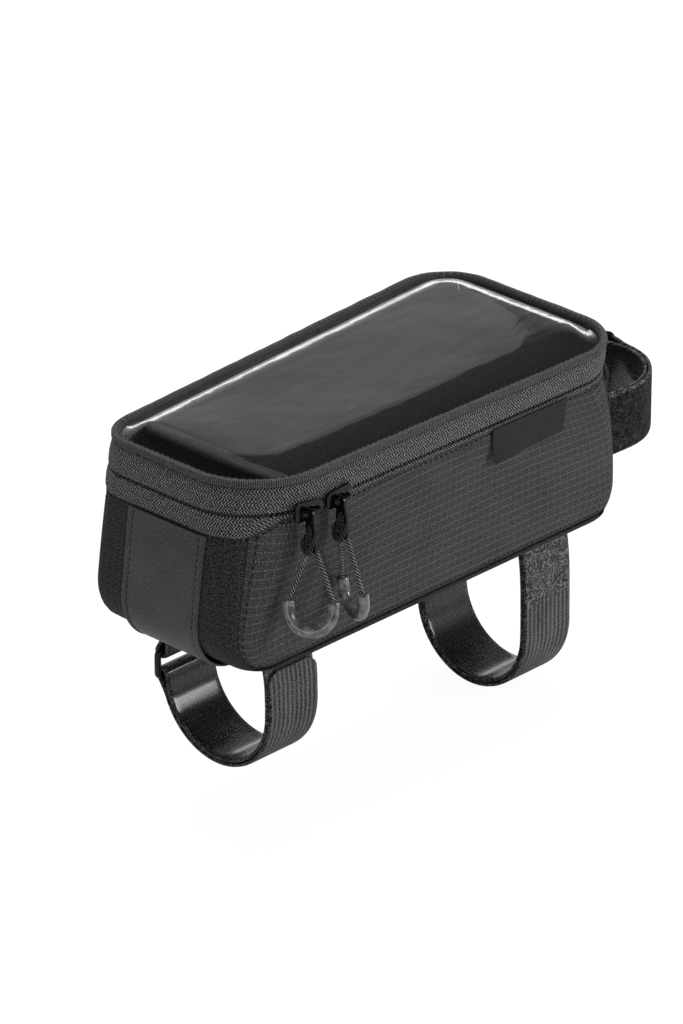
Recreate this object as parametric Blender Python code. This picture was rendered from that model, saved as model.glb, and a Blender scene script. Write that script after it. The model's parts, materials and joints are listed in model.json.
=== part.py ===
"""Top tube bag with a window pocket in its lid, for a bicycle frame.

Lengths are in metres. +X points to the front of the bicycle, the long side with the
label faces -Y, and +Z is up. The floor of the world is the underside of the base strip,
which rests on the bicycle's top tube.
"""

import math

import bpy
from mathutils import Matrix, Vector

# Clearances
GAP = 0.0003
SEAM_HALF_GAP = 0.00016

# Bag body
FLOOR_REAR_X = -0.103
FLOOR_FRONT_X = 0.104
FLOOR_REAR_HALF_WIDTH = 0.039
FLOOR_FRONT_HALF_WIDTH = 0.0405
ZIP_HEIGHT = 0.064
ZIP_REAR_X = -0.095
ZIP_FRONT_X = 0.1015
ZIP_REAR_HALF_WIDTH = 0.041
ZIP_FRONT_HALF_WIDTH = 0.048
REAR_ROUNDING = 0.022
FRONT_ROUNDING = 0.013
EDGE_ROUNDING = 0.003
SHELL = 0.0012
LINING = 0.0022
LINING_BELOW_ZIP = 0.0062
BOARD = 0.0015
BOARD_CLEARANCE = 0.0020
BOARD_CORNER = 0.0060
RISE_PER_LENGTH = 0.015

# Lid
LID_REAR_X = -0.0915
LID_FRONT_X = 0.102
LID_REAR_HALF_WIDTH = 0.0405
LID_FRONT_HALF_WIDTH = 0.0500
LID_HEIGHT = 0.0132
BEAD_HEIGHT = 0.0032
BEAD_WIDTH = 0.0036
BEAD_STANDS_OUT = 0.0007
TAPE = 0.0010
FILM = 0.0005
FILM_RISE = 0.0044
POCKET_FLOOR = 0.0051
POCKET_PANEL = 0.0015
POCKET_MOUTH_X = -0.068
MOUTH_TAPE = 0.0006
MOUTH_TAPE_REACH = 0.0035
LID_BAND_TOP = ZIP_HEIGHT + LID_HEIGHT - BEAD_HEIGHT - GAP
HINGE_TAPE = 0.0008
HINGE_TAPE_HEIGHT = 0.0055

# The film's rise above its edge, as (way in from the edge, share of the whole rise)
FILM_STEPS = ((0.0, 0.0), (0.0022, 0.10), (0.0050, 0.42), (0.0085, 0.80), (0.0130, 0.97), (0.0200, 1.0))

# Corner radii in plan, at the floor and at the zip: near rear, near front, far front, far rear
FLOOR_RADII = (0.010, 0.005, 0.005, 0.010)
ZIP_RADII = (0.032, 0.024, 0.022, 0.016)
RADIUS_GROWTH = (1.4, 2.2, 2.2, 1.4)

# Zip
SLOT_HALF = 0.0007
COIL_HEIGHT = 0.0017
COIL_DEPTH = 0.0020
REAR_TAPE_DROP = 0.0083
SIDE_TAPE_DROP = 0.0020
ZIP_END = 1 + 4 / 6
END_TAB = 0.0013
END_TAB_HEIGHT = 0.0077

# Label on the near side panel
LABEL_X = 0.0280
LABEL_LENGTH = 0.0390
LABEL_DROP = 0.0130
LABEL = 0.0005
LABEL_OVER_TAPE = 0.0004
LABEL_LEAN = 0.0012
LABEL_STANDS_OFF = 0.0018

# Zip sliders. Offs are measured out from the tape's outer face
PLATE = 0.0011
PLATE_HALF_WIDTH = 0.0031
PLATE_HEAD_HALF_WIDTH = 0.0040
PLATE_CUT = 0.0012
FRONT_PLATE_OFF = 0.0013
BACK_PLATE_OFF = 0.0048
BACK_HALF_WIDTH = 0.0026
BACK_HEAD_HALF_WIDTH = 0.0032
NECK_HALF_LENGTH = 0.0022
NECK_HALF_WIDTH = 0.0004
SLIDER_LENGTH = 0.0124
BAR_HALF = 0.0006
BRIDGE_HALF_WIDTH = 0.0008
BRIDGE_HALF_LENGTH = 0.0040
BRIDGE_HALF_CLEAR = 0.0027
RIGHT_SLIDER_X = -0.0530
LEFT_SLIDER_TURN = 6.4

# Pulls
BAR_OFF = 0.0047
TAB_SHIFT = -0.0015
TAB_LENGTH = 0.0150
TAB_WIDTH = 0.0054
TAB_THICKNESS = 0.0012
TAB_SLOT = 0.0030
TAB_END = 0.0012
TAB_CORNER = 0.0012
TAB_SHOULDER = 0.0060
TAB_EYE = 0.0020
TAB_EYE_HOLE = 0.0013
CORD_RADIUS = 0.0009
TUBE_RADIUS = 0.0023
TUBE_BORE = 0.0013
PULL_HALF_SPREAD = 0.0082
TUBE_TOP_BELOW_BAR = 0.0335
TUBE_STRAIGHT = 0.0032
# How each pull hangs, in degrees: tab's lean off the bag, loop's lean, swing, turn and roll
RIGHT_HANG = (4.0, 14.5, 0.5, 108.0, 12.0)
LEFT_HANG = (5.0, 14.0, -12.5, 44.0, 0.0)

# Base strip and straps
BASE_STRIP = 0.0010
BASE_HALF_WIDTH = 0.0195
STRAP = 0.0015
STRAP_WIDTH = 0.025
STRAP_HALF_LOOP = 0.0285
RING_WIRE = 0.0013
RING_BEND = 0.0015
RING_SIDE_PLAY = GAP + 0.0002
WRAP_PLAY = 1.6 * GAP
CHANNEL_EXIT = 0.0019
BEND_STEPS = 9
FLOOR_ABOVE_BASE = BASE_STRIP + STRAP + 2 * GAP
REAR_STRAP_X = FLOOR_REAR_X + 0.0430
FRONT_STRAP_X = FLOOR_FRONT_X - 0.0250
REAR_STRAP_DROP = 0.0230
FRONT_STRAP_DROP = 0.0414
HEAD_STRAP_HEIGHT = 0.0295
HEAD_STRAP_DROP = 0.0187
BOTTOM_RING_WAY = 0.0175
HEAD_RING_WAY = 0.0460
RING_SPAN = 0.0098
FOLD_BACK = 0.0095
STRAP_END_WAY = 0.0060
FRONT_PAD_TOP = 0.050
REAR_PATCH_TOP = ZIP_HEIGHT - REAR_TAPE_DROP - 0.0008

CORNERS = 4
CORNER_STEPS = 6


def clear_scene():
    for old in list(bpy.data.objects):
        bpy.data.objects.remove(old, do_unlink=True)


def mix(start, end, share):
    return start + (end - start) * share


def ease(value, low, high):
    share = min(max((value - low) / (high - low), 0.0), 1.0)
    return share * share * (3 - 2 * share)


# The bag's outline in plan


def outline_sizes(height):
    """Rear and front x, half widths there and corner radii of the outer skin at this height."""
    if height <= ZIP_HEIGHT:
        share = max(height, 0.0) / ZIP_HEIGHT
        radii = [mix(low, high, share ** growth)
                 for low, high, growth in zip(FLOOR_RADII, ZIP_RADII, RADIUS_GROWTH)]
        return (
            mix(FLOOR_REAR_X, ZIP_REAR_X, share),
            mix(FLOOR_FRONT_X, ZIP_FRONT_X, share),
            mix(FLOOR_REAR_HALF_WIDTH, ZIP_REAR_HALF_WIDTH, share),
            mix(FLOOR_FRONT_HALF_WIDTH, ZIP_FRONT_HALF_WIDTH, share),
            radii,
        )
    share = (height - ZIP_HEIGHT) / LID_HEIGHT
    return (
        mix(ZIP_REAR_X, LID_REAR_X, share),
        mix(ZIP_FRONT_X, LID_FRONT_X, share),
        mix(ZIP_REAR_HALF_WIDTH, LID_REAR_HALF_WIDTH, share),
        mix(ZIP_FRONT_HALF_WIDTH, LID_FRONT_HALF_WIDTH, share),
        list(ZIP_RADII),
    )


def rounding(height, radius, inset):
    """How far a skin at this inset draws in near the floor."""
    left = radius - inset
    drop = radius - height
    if left <= 0 or drop <= 0:
        return 0.0
    return left - math.sqrt(max(left * left - drop * drop, 0.0))


class Outline:
    """The plan outline at one height and inset. Stations run anticlockwise from 0 to 8:
    near side, near front corner, front, far front corner, far side, far rear corner,
    rear, near rear corner."""

    def __init__(self, height, inset):
        rear, front, rear_half, front_half, radii = outline_sizes(height)
        rear_end = rounding(height, REAR_ROUNDING, inset)
        front_end = rounding(height, FRONT_ROUNDING, inset)
        edge = rounding(height, EDGE_ROUNDING, inset)
        lean = math.atan2(front_half - rear_half, front - rear)
        side_reach = rear_half * math.cos(lean) - rear * math.sin(lean) - inset - edge
        near = (-math.sin(lean), -math.cos(lean), side_reach)
        far = (-math.sin(lean), math.cos(lean), side_reach)
        walls = [near, (1.0, 0.0, front - inset - front_end), far, (-1.0, 0.0, -rear - inset - rear_end)]
        order = [radii[1], radii[2], radii[3], radii[0]]
        self.arcs = []
        for index in range(CORNERS):
            radius = max(order[index] - inset, 0.0006)
            first, second = walls[index], walls[(index + 1) % CORNERS]
            reach_1, reach_2 = first[2] - radius, second[2] - radius
            cross = first[0] * second[1] - first[1] * second[0]
            centre_x = (reach_1 * second[1] - reach_2 * first[1]) / cross
            centre_y = (first[0] * reach_2 - second[0] * reach_1) / cross
            start = math.atan2(first[1], first[0])
            turn = (math.atan2(second[1], second[0]) - start) % (2 * math.pi)
            self.arcs.append((centre_x, centre_y, radius, start, turn))

    def on_arc(self, index, share):
        centre_x, centre_y, radius, start, turn = self.arcs[index]
        angle = start + turn * share
        return centre_x + radius * math.cos(angle), centre_y + radius * math.sin(angle)

    def arc_length(self, index):
        return self.arcs[index][2] * self.arcs[index][4]

    def point(self, station):
        station %= 2 * CORNERS
        index, share = int(station) // 2, station - int(station)
        if int(station) % 2:
            return self.on_arc(index, share)
        start = self.on_arc(index - 1, 1.0)
        end = self.on_arc(index, 0.0)
        return mix(start[0], end[0], share), mix(start[1], end[1], share)


OUTLINES = {}


def outline(height, inset):
    key = (round(height, 7), round(inset, 7))
    if key not in OUTLINES:
        OUTLINES[key] = Outline(*key)
    return OUTLINES[key]


def lifted(x, y, height):
    """The bag rises a little to the front, so heights grow with x up to the zip."""
    rise = RISE_PER_LENGTH * x * min(max(height, 0.0) / ZIP_HEIGHT, 1.0)
    return Vector((x, y, height + rise + FLOOR_ABOVE_BASE))


def skin_point(station, height, inset, side=0):
    """A point of the skin. A side of 1 or -1 steps half a seam gap along the outline."""
    ring = outline(height, inset)
    if side:
        station += side * SEAM_HALF_GAP / ring.arc_length(int(station % 8) // 2)
    x, y = ring.point(station)
    return lifted(x, y, height)


# Mesh building


def add_object(name, points, faces, smooth=True):
    mesh = bpy.data.meshes.new(name)
    mesh.from_pydata([tuple(point) for point in points], [], faces)
    mesh.polygons.foreach_set("use_smooth", [smooth] * len(mesh.polygons))
    mesh.update()
    made = bpy.data.objects.new(name, mesh)
    bpy.context.scene.collection.objects.link(made)
    return made


def sheet(name, outer, inner, kept=None, closed=False, cap=False):
    """A solid wall from two grids of points, rows of columns. kept(row, column) says which
    cells belong to it, closed joins the last column to the first, and cap closes row 0."""
    rows, columns = len(outer), len(outer[0])
    count = columns if closed else columns - 1
    faces = []
    for row in range(rows - 1):
        for column in range(count):
            if kept is None or kept(row, column):
                after = (column + 1) % columns
                low, high = row * columns, (row + 1) * columns
                faces.append((low + column, low + after, high + after, high + column))
    if cap:
        faces.append(tuple(reversed(range(columns))))
    used = {}
    for face in faces:
        for start, end in zip(face, face[1:] + face[:1]):
            used[(start, end)] = True
    shift = rows * columns
    walls = [tuple(index + shift for index in reversed(face)) for face in faces]
    for start, end in used:
        if (end, start) not in used:
            walls.append((end, start, start + shift, end + shift))
    points = [point for grid in (outer, inner) for line in grid for point in line]
    return compact(name, points, faces + walls)


def compact(name, points, faces):
    """Adds the object with only the points that its faces use."""
    wanted = sorted({index for face in faces for index in face})
    place = {index: position for position, index in enumerate(wanted)}
    kept_faces = [tuple(place[index] for index in face) for face in faces]
    return add_object(name, [points[index] for index in wanted], kept_faces)


def skin_grid(stations, rows_at, inset):
    """Points for stations given as (station, side), with rows_at(station) giving heights."""
    columns = [[skin_point(station, height, inset, side) for height in rows_at(station)]
               for station, side in stations]
    return [list(line) for line in zip(*columns)]


def swept(name, rings, closed=False):
    """A solid through rings of points, with flat ends or closed on itself."""
    sides = len(rings[0])
    count = len(rings)
    faces = []
    for step in range(count if closed else count - 1):
        here, there = step * sides, ((step + 1) % count) * sides
        for side in range(sides):
            after = (side + 1) % sides
            faces.append((here + side, here + after, there + after, there + side))
    if not closed:
        faces.append(tuple(reversed(range(sides))))
        faces.append(tuple(range((count - 1) * sides, count * sides)))
    points = [point for ring in rings for point in ring]
    return add_object(name, points, faces)


def outward(target):
    """Turns a mesh right side out where its volume comes out negative."""
    mesh = target.data
    volume = 0.0
    for face in mesh.polygons:
        corners = [mesh.vertices[index].co for index in face.vertices]
        for second, third in zip(corners[1:], corners[2:]):
            volume += corners[0].dot(second.cross(third))
    if volume < 0:
        mesh.flip_normals()
    return target


def wire_rings(path, radius, sides, closed=False):
    """Rings of points round a path, kept from twisting."""
    count = len(path)
    tangents = []
    for step in range(count):
        before = path[step - 1] if closed or step else path[0]
        after = path[(step + 1) % count] if closed or step < count - 1 else path[-1]
        tangents.append((after - before).normalized())
    across = tangents[0].orthogonal().normalized()
    rings = []
    for point, tangent in zip(path, tangents):
        across = (across - tangent * across.dot(tangent)).normalized()
        up = tangent.cross(across)
        turns = [2 * math.pi * side / sides for side in range(sides)]
        rings.append([point + across * (radius * math.cos(t)) + up * (radius * math.sin(t)) for t in turns])
    return rings


def smooth_path(points, per_span, closed=False):
    """A curve that passes through every point, with per_span steps between two."""
    count = len(points)
    spans = count if closed else count - 1
    path = []
    for span in range(spans):
        p1, p2 = points[span], points[(span + 1) % count]
        p0 = points[span - 1] if closed or span else p1
        p3 = points[(span + 2) % count] if closed or span < spans - 1 else p2
        for step in range(per_span):
            t = step / per_span
            path.append(0.5 * ((2 * p1) + (p2 - p0) * t + (2 * p0 - 5 * p1 + 4 * p2 - p3) * t * t
                               + (3 * p1 - p0 - 3 * p2 + p3) * t * t * t))
    if not closed:
        path.append(points[-1])
    return path


def prism(name, profile, low, high, place):
    """Extrudes a profile of (a, b) pairs from low to high, with place(a, b, c) giving the point."""
    rings = [[place(a, b, reach) for a, b in profile] for reach in (low, high)]
    return outward(swept(name, rings))


def combine(target, others, operation):
    """Joins or cuts the target with helper solids and removes the helpers."""
    for other in others:
        other.hide_render = True
        other.display_type = "WIRE"
        change = target.modifiers.new(operation.lower(), "BOOLEAN")
        change.operation = operation
        change.solver = "EXACT"
        change.object = other
    bpy.context.view_layer.update()
    graph = bpy.context.evaluated_depsgraph_get()
    made = bpy.data.meshes.new_from_object(target.evaluated_get(graph))
    target.modifiers.clear()
    target.data = made
    for other in others:
        bpy.data.objects.remove(other, do_unlink=True)
    return target


def circle(centre_a, centre_b, radius, sides):
    turns = [2 * math.pi * step / sides for step in range(sides)]
    return [(centre_a + radius * math.cos(t), centre_b + radius * math.sin(t)) for t in turns]


# Stations along the outline


def stations_between(start, end, side_steps=3):
    """Stations from start to end: sixths of a turn on corners, so that skins inside one
    another stay parallel, and a few steps along each straight side."""
    stations = [start]
    place = math.floor(start + 1e-9)
    while place < end:
        steps = CORNER_STEPS if place % 2 else side_steps
        for step in range(steps):
            station = place + step / steps
            if start + 0.01 < station < end - 0.01:
                stations.append(station)
        place += 1
    return stations + [end]


def seamed(start, end, side_steps=3):
    """Stations for a wall that starts and ends half a seam gap inside start and end."""
    middle = stations_between(start, end, side_steps)[1:-1]
    return [(start, 1)] + [(station, 0) for station in middle] + [(end, -1)]


def all_round(side_steps=3):
    return [(station, 0) for station in stations_between(0, 2 * CORNERS, side_steps)[:-1]]


NEAR_SPAN = seamed(-0.5, 1.5)
FAR_SPAN = seamed(3.5, 5.5)
REAR_SPAN = seamed(5.5, 7.5)
FRONT_SPAN = sorted(seamed(1.5, 3.5) + [(ZIP_END + 0.03, 0), (5 - ZIP_END - 0.03, 0)])


def tape_drop(station):
    """How far the lower tape shows below the zip: a wide band on the rear end only."""
    x, _ = outline(ZIP_HEIGHT, 0.0).point(station)
    return mix(REAR_TAPE_DROP, SIDE_TAPE_DROP, ease(x, -0.0895, -0.0745))


def in_zip(station):
    station %= 8
    return not ZIP_END + 0.001 < station < 5 - ZIP_END - 0.001


SEAM_HEIGHT = EDGE_ROUNDING + GAP
WALL_HEIGHTS = (0.0065, 0.0105, 0.0150, 0.0200, 0.0300, 0.0420)


def cloth_top(station):
    """Top edge of the side panels and of the gusset's ends."""
    if in_zip(station):
        return ZIP_HEIGHT - tape_drop(station) - GAP
    return ZIP_HEIGHT - GAP


def wall_rows(station, lowest):
    top = cloth_top(station)
    return [lowest] + list(WALL_HEIGHTS) + [mix(WALL_HEIGHTS[-1], top, 0.5), top]


# Body of the bag


def make_side_panel(name, stations):
    outer = skin_grid(stations, lambda s: wall_rows(s, SEAM_HEIGHT), 0.0)
    inner = skin_grid(stations, lambda s: wall_rows(s, SEAM_HEIGHT), SHELL)
    return sheet(name, outer, inner)


def make_gusset():
    stations = FRONT_SPAN + FAR_SPAN[1:-1] + REAR_SPAN + NEAR_SPAN[1:-1]
    ends = set(range(len(FRONT_SPAN) - 1))
    start = len(FRONT_SPAN) + len(FAR_SPAN) - 2
    ends |= set(range(start, start + len(REAR_SPAN) - 1))
    floor_outer = (0.0, 0.0009)
    floor_inner = (SHELL, SHELL + 0.0005)
    seam = EDGE_ROUNDING
    outer = skin_grid(stations, lambda s: list(floor_outer) + wall_rows(s, seam), 0.0)
    inner = skin_grid(stations, lambda s: list(floor_inner) + wall_rows(s, seam), SHELL)
    return sheet("gusset", outer, inner, lambda row, column: row < 2 or column in ends, True, True)


def make_lining():
    stations = all_round()
    inset = SHELL + GAP
    lowest = SHELL + BOARD + 2 * GAP
    top = ZIP_HEIGHT - LINING_BELOW_ZIP
    outer = skin_grid(stations, lambda s: (lowest,) + WALL_HEIGHTS + (top,), inset)
    heights = (lowest + LINING, 0.0080) + WALL_HEIGHTS[1:] + (top,)
    inner = skin_grid(stations, lambda s: heights, inset + LINING)
    return sheet("padded_lining", outer, inner, None, True, True)


def make_board():
    reach_x = -FLOOR_REAR_X - REAR_ROUNDING - BOARD_CLEARANCE
    reach_y = FLOOR_REAR_HALF_WIDTH - SHELL - EDGE_ROUNDING
    profile = []
    for turn_x, turn_y, start in ((1, 1, 0), (-1, 1, 90), (-1, -1, 180), (1, -1, 270)):
        for step in range(4):
            angle = math.radians(start + 30 * step)
            profile.append((turn_x * (reach_x - BOARD_CORNER) + BOARD_CORNER * math.cos(angle),
                            turn_y * (reach_y - BOARD_CORNER) + BOARD_CORNER * math.sin(angle)))
    low = SHELL + GAP
    return prism("floor_board", profile, low, low + BOARD, lifted_flat)


def lifted_flat(x, y, height):
    return Vector((x, y, height + FLOOR_ABOVE_BASE + RISE_PER_LENGTH * x * height / ZIP_HEIGHT))


def zip_stations():
    return seamed(5 - ZIP_END, 8 + ZIP_END)


def make_zip_half(name, bottom, top, first_inset, depth):
    stations = zip_stations()
    rows = [(lambda s, share=share: mix(bottom(s), top, share)) for share in (0.0, 1.0)]
    outer = skin_grid(stations, lambda s: [row(s) for row in rows], first_inset)
    inner = skin_grid(stations, lambda s: [row(s) for row in rows], first_inset + depth)
    return sheet(name, outer, inner)


def make_zip():
    """Two tapes and two coils, with a slot between them that the sliders' necks run in."""
    low = ZIP_HEIGHT - SLOT_HALF
    high = ZIP_HEIGHT + SLOT_HALF
    coil_inset = SHELL + GAP
    make_zip_half("lower_zip_tape", lambda s: ZIP_HEIGHT - tape_drop(s), low, 0.0, TAPE)
    make_zip_half("lower_zip_coil", lambda s: low - COIL_HEIGHT, low, coil_inset, COIL_DEPTH)
    make_zip_half("upper_zip_tape", lambda s: LID_BAND_TOP, high, 0.0, TAPE)
    make_zip_half("upper_zip_coil", lambda s: high + COIL_HEIGHT, high, coil_inset, COIL_DEPTH)


def make_lid_front_wall():
    stations = seamed(ZIP_END, 5 - ZIP_END)
    heights = (ZIP_HEIGHT + GAP, LID_BAND_TOP)
    outer = skin_grid(stations, lambda s: heights, 0.0)
    inner = skin_grid(stations, lambda s: heights, TAPE)
    return sheet("lid_front_wall", outer, inner)


def make_hinge_tape():
    stations = [(station, 0) for station in stations_between(2, 3)]
    heights = (ZIP_HEIGHT - GAP - HINGE_TAPE_HEIGHT, ZIP_HEIGHT - GAP)
    outer = skin_grid(stations, lambda s: heights, SHELL + GAP)
    inner = skin_grid(stations, lambda s: heights, SHELL + GAP + HINGE_TAPE)
    return sheet("hinge_tape", outer, inner)


def make_end_tab(name, start, end):
    stations = [(start, 0), (mix(start, end, 0.5), 0), (end, 0)]
    heights = (ZIP_HEIGHT - GAP - END_TAB_HEIGHT, ZIP_HEIGHT - GAP)
    outer = skin_grid(stations, lambda s: heights, -GAP - END_TAB)
    inner = skin_grid(stations, lambda s: heights, -GAP)
    return sheet(name, outer, inner)


def make_binding():
    """The piped edge round the window: a bead closed on itself."""
    middle = ZIP_HEIGHT + LID_HEIGHT - BEAD_HEIGHT / 2
    centre = BEAD_WIDTH / 2 - BEAD_STANDS_OUT
    rings = []
    for station, _ in all_round():
        ring = []
        for step in range(8):
            angle = math.radians(45 * step + 22.5)
            inset = centre - BEAD_WIDTH / 2 * math.cos(angle) / math.cos(math.radians(22.5))
            height = middle + BEAD_HEIGHT / 2 * math.sin(angle) / math.sin(math.radians(67.5))
            x, y = outline(ZIP_HEIGHT + LID_HEIGHT - BEAD_HEIGHT, inset).point(station)
            ring.append(lifted(x, y, height))
        rings.append(ring)
    return outward(swept("window_binding", rings, True))


def make_film():
    """Clear film, moulded a little proud of its binding."""
    start = BEAD_WIDTH - BEAD_STANDS_OUT + GAP
    edge = ZIP_HEIGHT + LID_HEIGHT - 0.0014
    level = ZIP_HEIGHT + LID_HEIGHT - BEAD_HEIGHT
    stations = all_round()
    grids = []
    for drop in (0.0, FILM):
        grid = []
        for reach, share in reversed(FILM_STEPS):
            ring = []
            for station, _ in stations:
                x, y = outline(level, start + reach).point(station)
                ring.append(lifted(x, y, edge + FILM_RISE * share - drop))
            grid.append(ring)
        grids.append(grid)
    return outward(sheet("window_film", grids[0], grids[1], None, True, True))


def make_pocket_panel():
    """The pocket's cloth floor inside the lid. Returns half its width at the mouth."""
    inset = TAPE + 4 * GAP
    ring = outline(ZIP_HEIGHT + POCKET_FLOOR, inset)
    points = [ring.point(station) for station, _ in all_round(12)]
    kept = [point for point in points if point[0] > POCKET_MOUTH_X + 0.001]
    split = max(range(len(kept)), key=lambda i: math.dist(kept[i], kept[(i + 1) % len(kept)]))
    kept = kept[split + 1:] + kept[:split + 1]
    profile = [(POCKET_MOUTH_X, kept[0][1])] + kept + [(POCKET_MOUTH_X, kept[-1][1])]
    low = ZIP_HEIGHT + POCKET_FLOOR
    prism("pocket_panel", profile, low, low + POCKET_PANEL, lifted)
    return abs(kept[0][1])


def make_mouth_binding(half_width):
    """Folded tape over the free edge of the pocket panel."""
    low = ZIP_HEIGHT + POCKET_FLOOR
    front = POCKET_MOUTH_X + MOUTH_TAPE_REACH
    inner = POCKET_MOUTH_X - GAP
    back = inner - MOUTH_TAPE
    top = low + POCKET_PANEL + GAP
    bottom = low - GAP
    profile = [(front, top), (front, top + MOUTH_TAPE), (back, top + MOUTH_TAPE), (back, bottom - MOUTH_TAPE),
               (front, bottom - MOUTH_TAPE), (front, bottom), (inner, bottom), (inner, top)]
    reach_y = half_width - 4 * GAP
    return prism("pocket_mouth_binding", profile, -reach_y, reach_y, lambda a, b, c: lifted(a, c, b))


def make_label():
    """A bare label sewn in under the zip, standing off at its rear lower corner."""
    rows, columns = 5, 6
    grids = []
    for layer in (LABEL, 0.0):
        grid = []
        for row in range(rows):
            fall = row / (rows - 1)
            height = ZIP_HEIGHT - SIDE_TAPE_DROP + LABEL_OVER_TAPE - LABEL_DROP * fall
            ring = outline(height, 0.0)
            start, end = ring.point(0.0)[0], ring.point(1.0)[0]
            line = []
            for column in range(columns):
                share = column / (columns - 1)
                along = LABEL_X + LABEL_LENGTH * share - LABEL_LEAN * fall
                off = LABEL_STANDS_OFF * fall * fall * (1 - share) ** 1.5
                line.append(skin_point((along - start) / (end - start), height, -GAP - off - layer))
            grid.append(line)
        grids.append(grid)
    return outward(sheet("side_label", grids[0], grids[1]))


# Base strip


def rear_surface_x(height, y):
    """x of the bag's rear skin at this height and y."""
    ring = outline(height, 0.0)
    station = 6.5
    for _ in range(30):
        x, here = ring.point(station)
        station += (here - y) / 0.09
    return ring.point(station)[0]


def make_base_strip():
    """One strip: rear patch, underside and front pad. It bends round both lower corners,
    close to the rear end and one strap's thickness off the floor and the front end."""
    columns = [mix(-BASE_HALF_WIDTH, BASE_HALF_WIDTH, step / 6) for step in range(7)]
    under = STRAP + 2 * GAP
    grids = []
    for layer in (BASE_STRIP, 0.0):
        grid = []
        for height in (REAR_PATCH_TOP, 0.048, 0.040, 0.031):
            grid.append([lifted(rear_surface_x(height, y) - GAP - layer, y, height) for y in columns])
        for step in range(BEND_STEPS + 1):
            turn = math.pi / 2 * step / BEND_STEPS
            height = REAR_ROUNDING * (1 - math.sin(turn))
            off = mix(GAP, under, ease(step, 0, BEND_STEPS)) + layer
            x = rear_surface_x(max(height, 0.00002), 0.0) - off * math.cos(turn)
            line = [lifted(x, y, height) for y in columns]
            grid.append([point - Vector((0, 0, off * math.sin(turn))) for point in line])
        bend_x = FLOOR_FRONT_X - FRONT_ROUNDING
        radius = FRONT_ROUNDING + under + layer
        for step in range(BEND_STEPS + 1):
            turn = math.pi / 2 * step / BEND_STEPS
            z = FLOOR_ABOVE_BASE + FRONT_ROUNDING - radius * math.cos(turn)
            grid.append([Vector((bend_x + radius * math.sin(turn), y, z)) for y in columns])
        top = FRONT_PAD_TOP + FLOOR_ABOVE_BASE
        grid.append([Vector((bend_x + radius, y, top)) for y in columns])
        grids.append(grid)
    return outward(sheet("base_strip", grids[0], grids[1]))


# Straps


class StrapWay:
    """The way of a strap's inner layer, in its loop's own plane: from the far edge of the
    base strip round the tube and back to the near edge. Points are (across, down)."""

    def __init__(self, drop):
        self.channel = -(BASE_STRIP + GAP + STRAP / 2)
        self.inner = STRAP_HALF_LOOP - STRAP / 2 - STRAP - GAP
        self.exit = Vector((BASE_HALF_WIDTH + CHANNEL_EXIT, self.channel + GAP))
        side = [self.exit,
                Vector((mix(BASE_HALF_WIDTH, self.inner, 0.62), drop * 0.05)),
                Vector((mix(BASE_HALF_WIDTH, self.inner, 0.93), drop * 0.40))]
        arc = []
        for step in range(17):
            angle = math.pi * step / 16
            arc.append(Vector((self.inner * math.cos(angle), drop + self.inner * math.sin(angle))))
        back = [Vector((-point.x, point.y)) for point in reversed(side)]
        self.line = smooth_path(side + arc + back, 6)
        self.ways = [0.0]
        for first, second in zip(self.line, self.line[1:]):
            self.ways.append(self.ways[-1] + (second - first).length)
        self.length = self.ways[-1]

    def frame(self, way):
        """Point, direction and outward normal at this way along the layer."""
        way = min(max(way, 0.0), self.length)
        step = max(index for index in range(len(self.ways) - 1) if self.ways[index] <= way)
        share = (way - self.ways[step]) / (self.ways[step + 1] - self.ways[step])
        point = self.line[step].lerp(self.line[step + 1], share)
        before = self.line[max(step - 1, 0)]
        after = self.line[min(step + 2, len(self.line) - 1)]
        along = (after - before).normalized()
        return point, along, Vector((along.y, -along.x))

    def layer(self, way, off):
        point, _, normal = self.frame(way)
        return point + normal * off


def strap_points(drop, ring_way):
    """Centre line of one strap. It is folded round the ring's first bar, runs under the bag,
    round the tube, over the ring's second bar and back on its own outside."""
    route = StrapWay(drop)
    wrap = RING_WIRE + WRAP_PLAY + STRAP / 2
    layers = STRAP + GAP
    second_way = ring_way + RING_SPAN
    points = [route.layer(ring_way - FOLD_BACK, layers), route.layer(ring_way - 0.0062, layers * 1.15)]

    def add_wrap(way, start):
        point, along, normal = route.frame(way)
        for step in range(7):
            angle = math.radians(start + 30 * step)
            points.append(point + normal * (wrap + wrap * math.cos(angle)) + along * (wrap * math.sin(angle)))

    add_wrap(ring_way, 0)
    for way in spaced(ring_way - 0.003, 0.0, 0.006):
        points.append(route.layer(way, 0.0))
    edge = BASE_HALF_WIDTH
    for across in (edge + 0.0003, edge - 0.0025, 0.006, -0.006, -edge + 0.0025, -edge - 0.0003):
        points.append(Vector((across, route.channel)))
    for way in spaced(route.length, second_way + 0.003, 0.006):
        points.append(route.layer(way, 0.0))
    add_wrap(second_way, 180)
    points.append(route.layer(second_way + 0.0062, layers * 1.15))
    for way in spaced(second_way + 0.0105, route.length - STRAP_END_WAY, 0.006):
        points.append(route.layer(way, layers))
    return points


def spaced(start, end, step):
    count = max(round(abs(end - start) / step), 1)
    return [mix(start, end, index / count) for index in range(count + 1)]


def make_strap(name, points, place):
    """A ribbon of even thickness along the centre line, with a rounded free end."""
    path = smooth_path(points, 2)
    count = len(path)
    ends_in = (0.0092, 0.0118, STRAP_WIDTH / 2)
    rings = []
    for step, point in enumerate(path):
        before = path[max(step - 1, 0)]
        after = path[min(step + 1, count - 1)]
        along = (after - before).normalized()
        side = Vector((-along.y, along.x))
        half = ends_in[min(count - 1 - step, 2)]
        top = point + side * STRAP / 2
        low = point - side * STRAP / 2
        rings.append([place(top.x, top.y, -half), place(top.x, top.y, half),
                      place(low.x, low.y, half), place(low.x, low.y, -half)])
    return outward(swept(name, rings))


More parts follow.
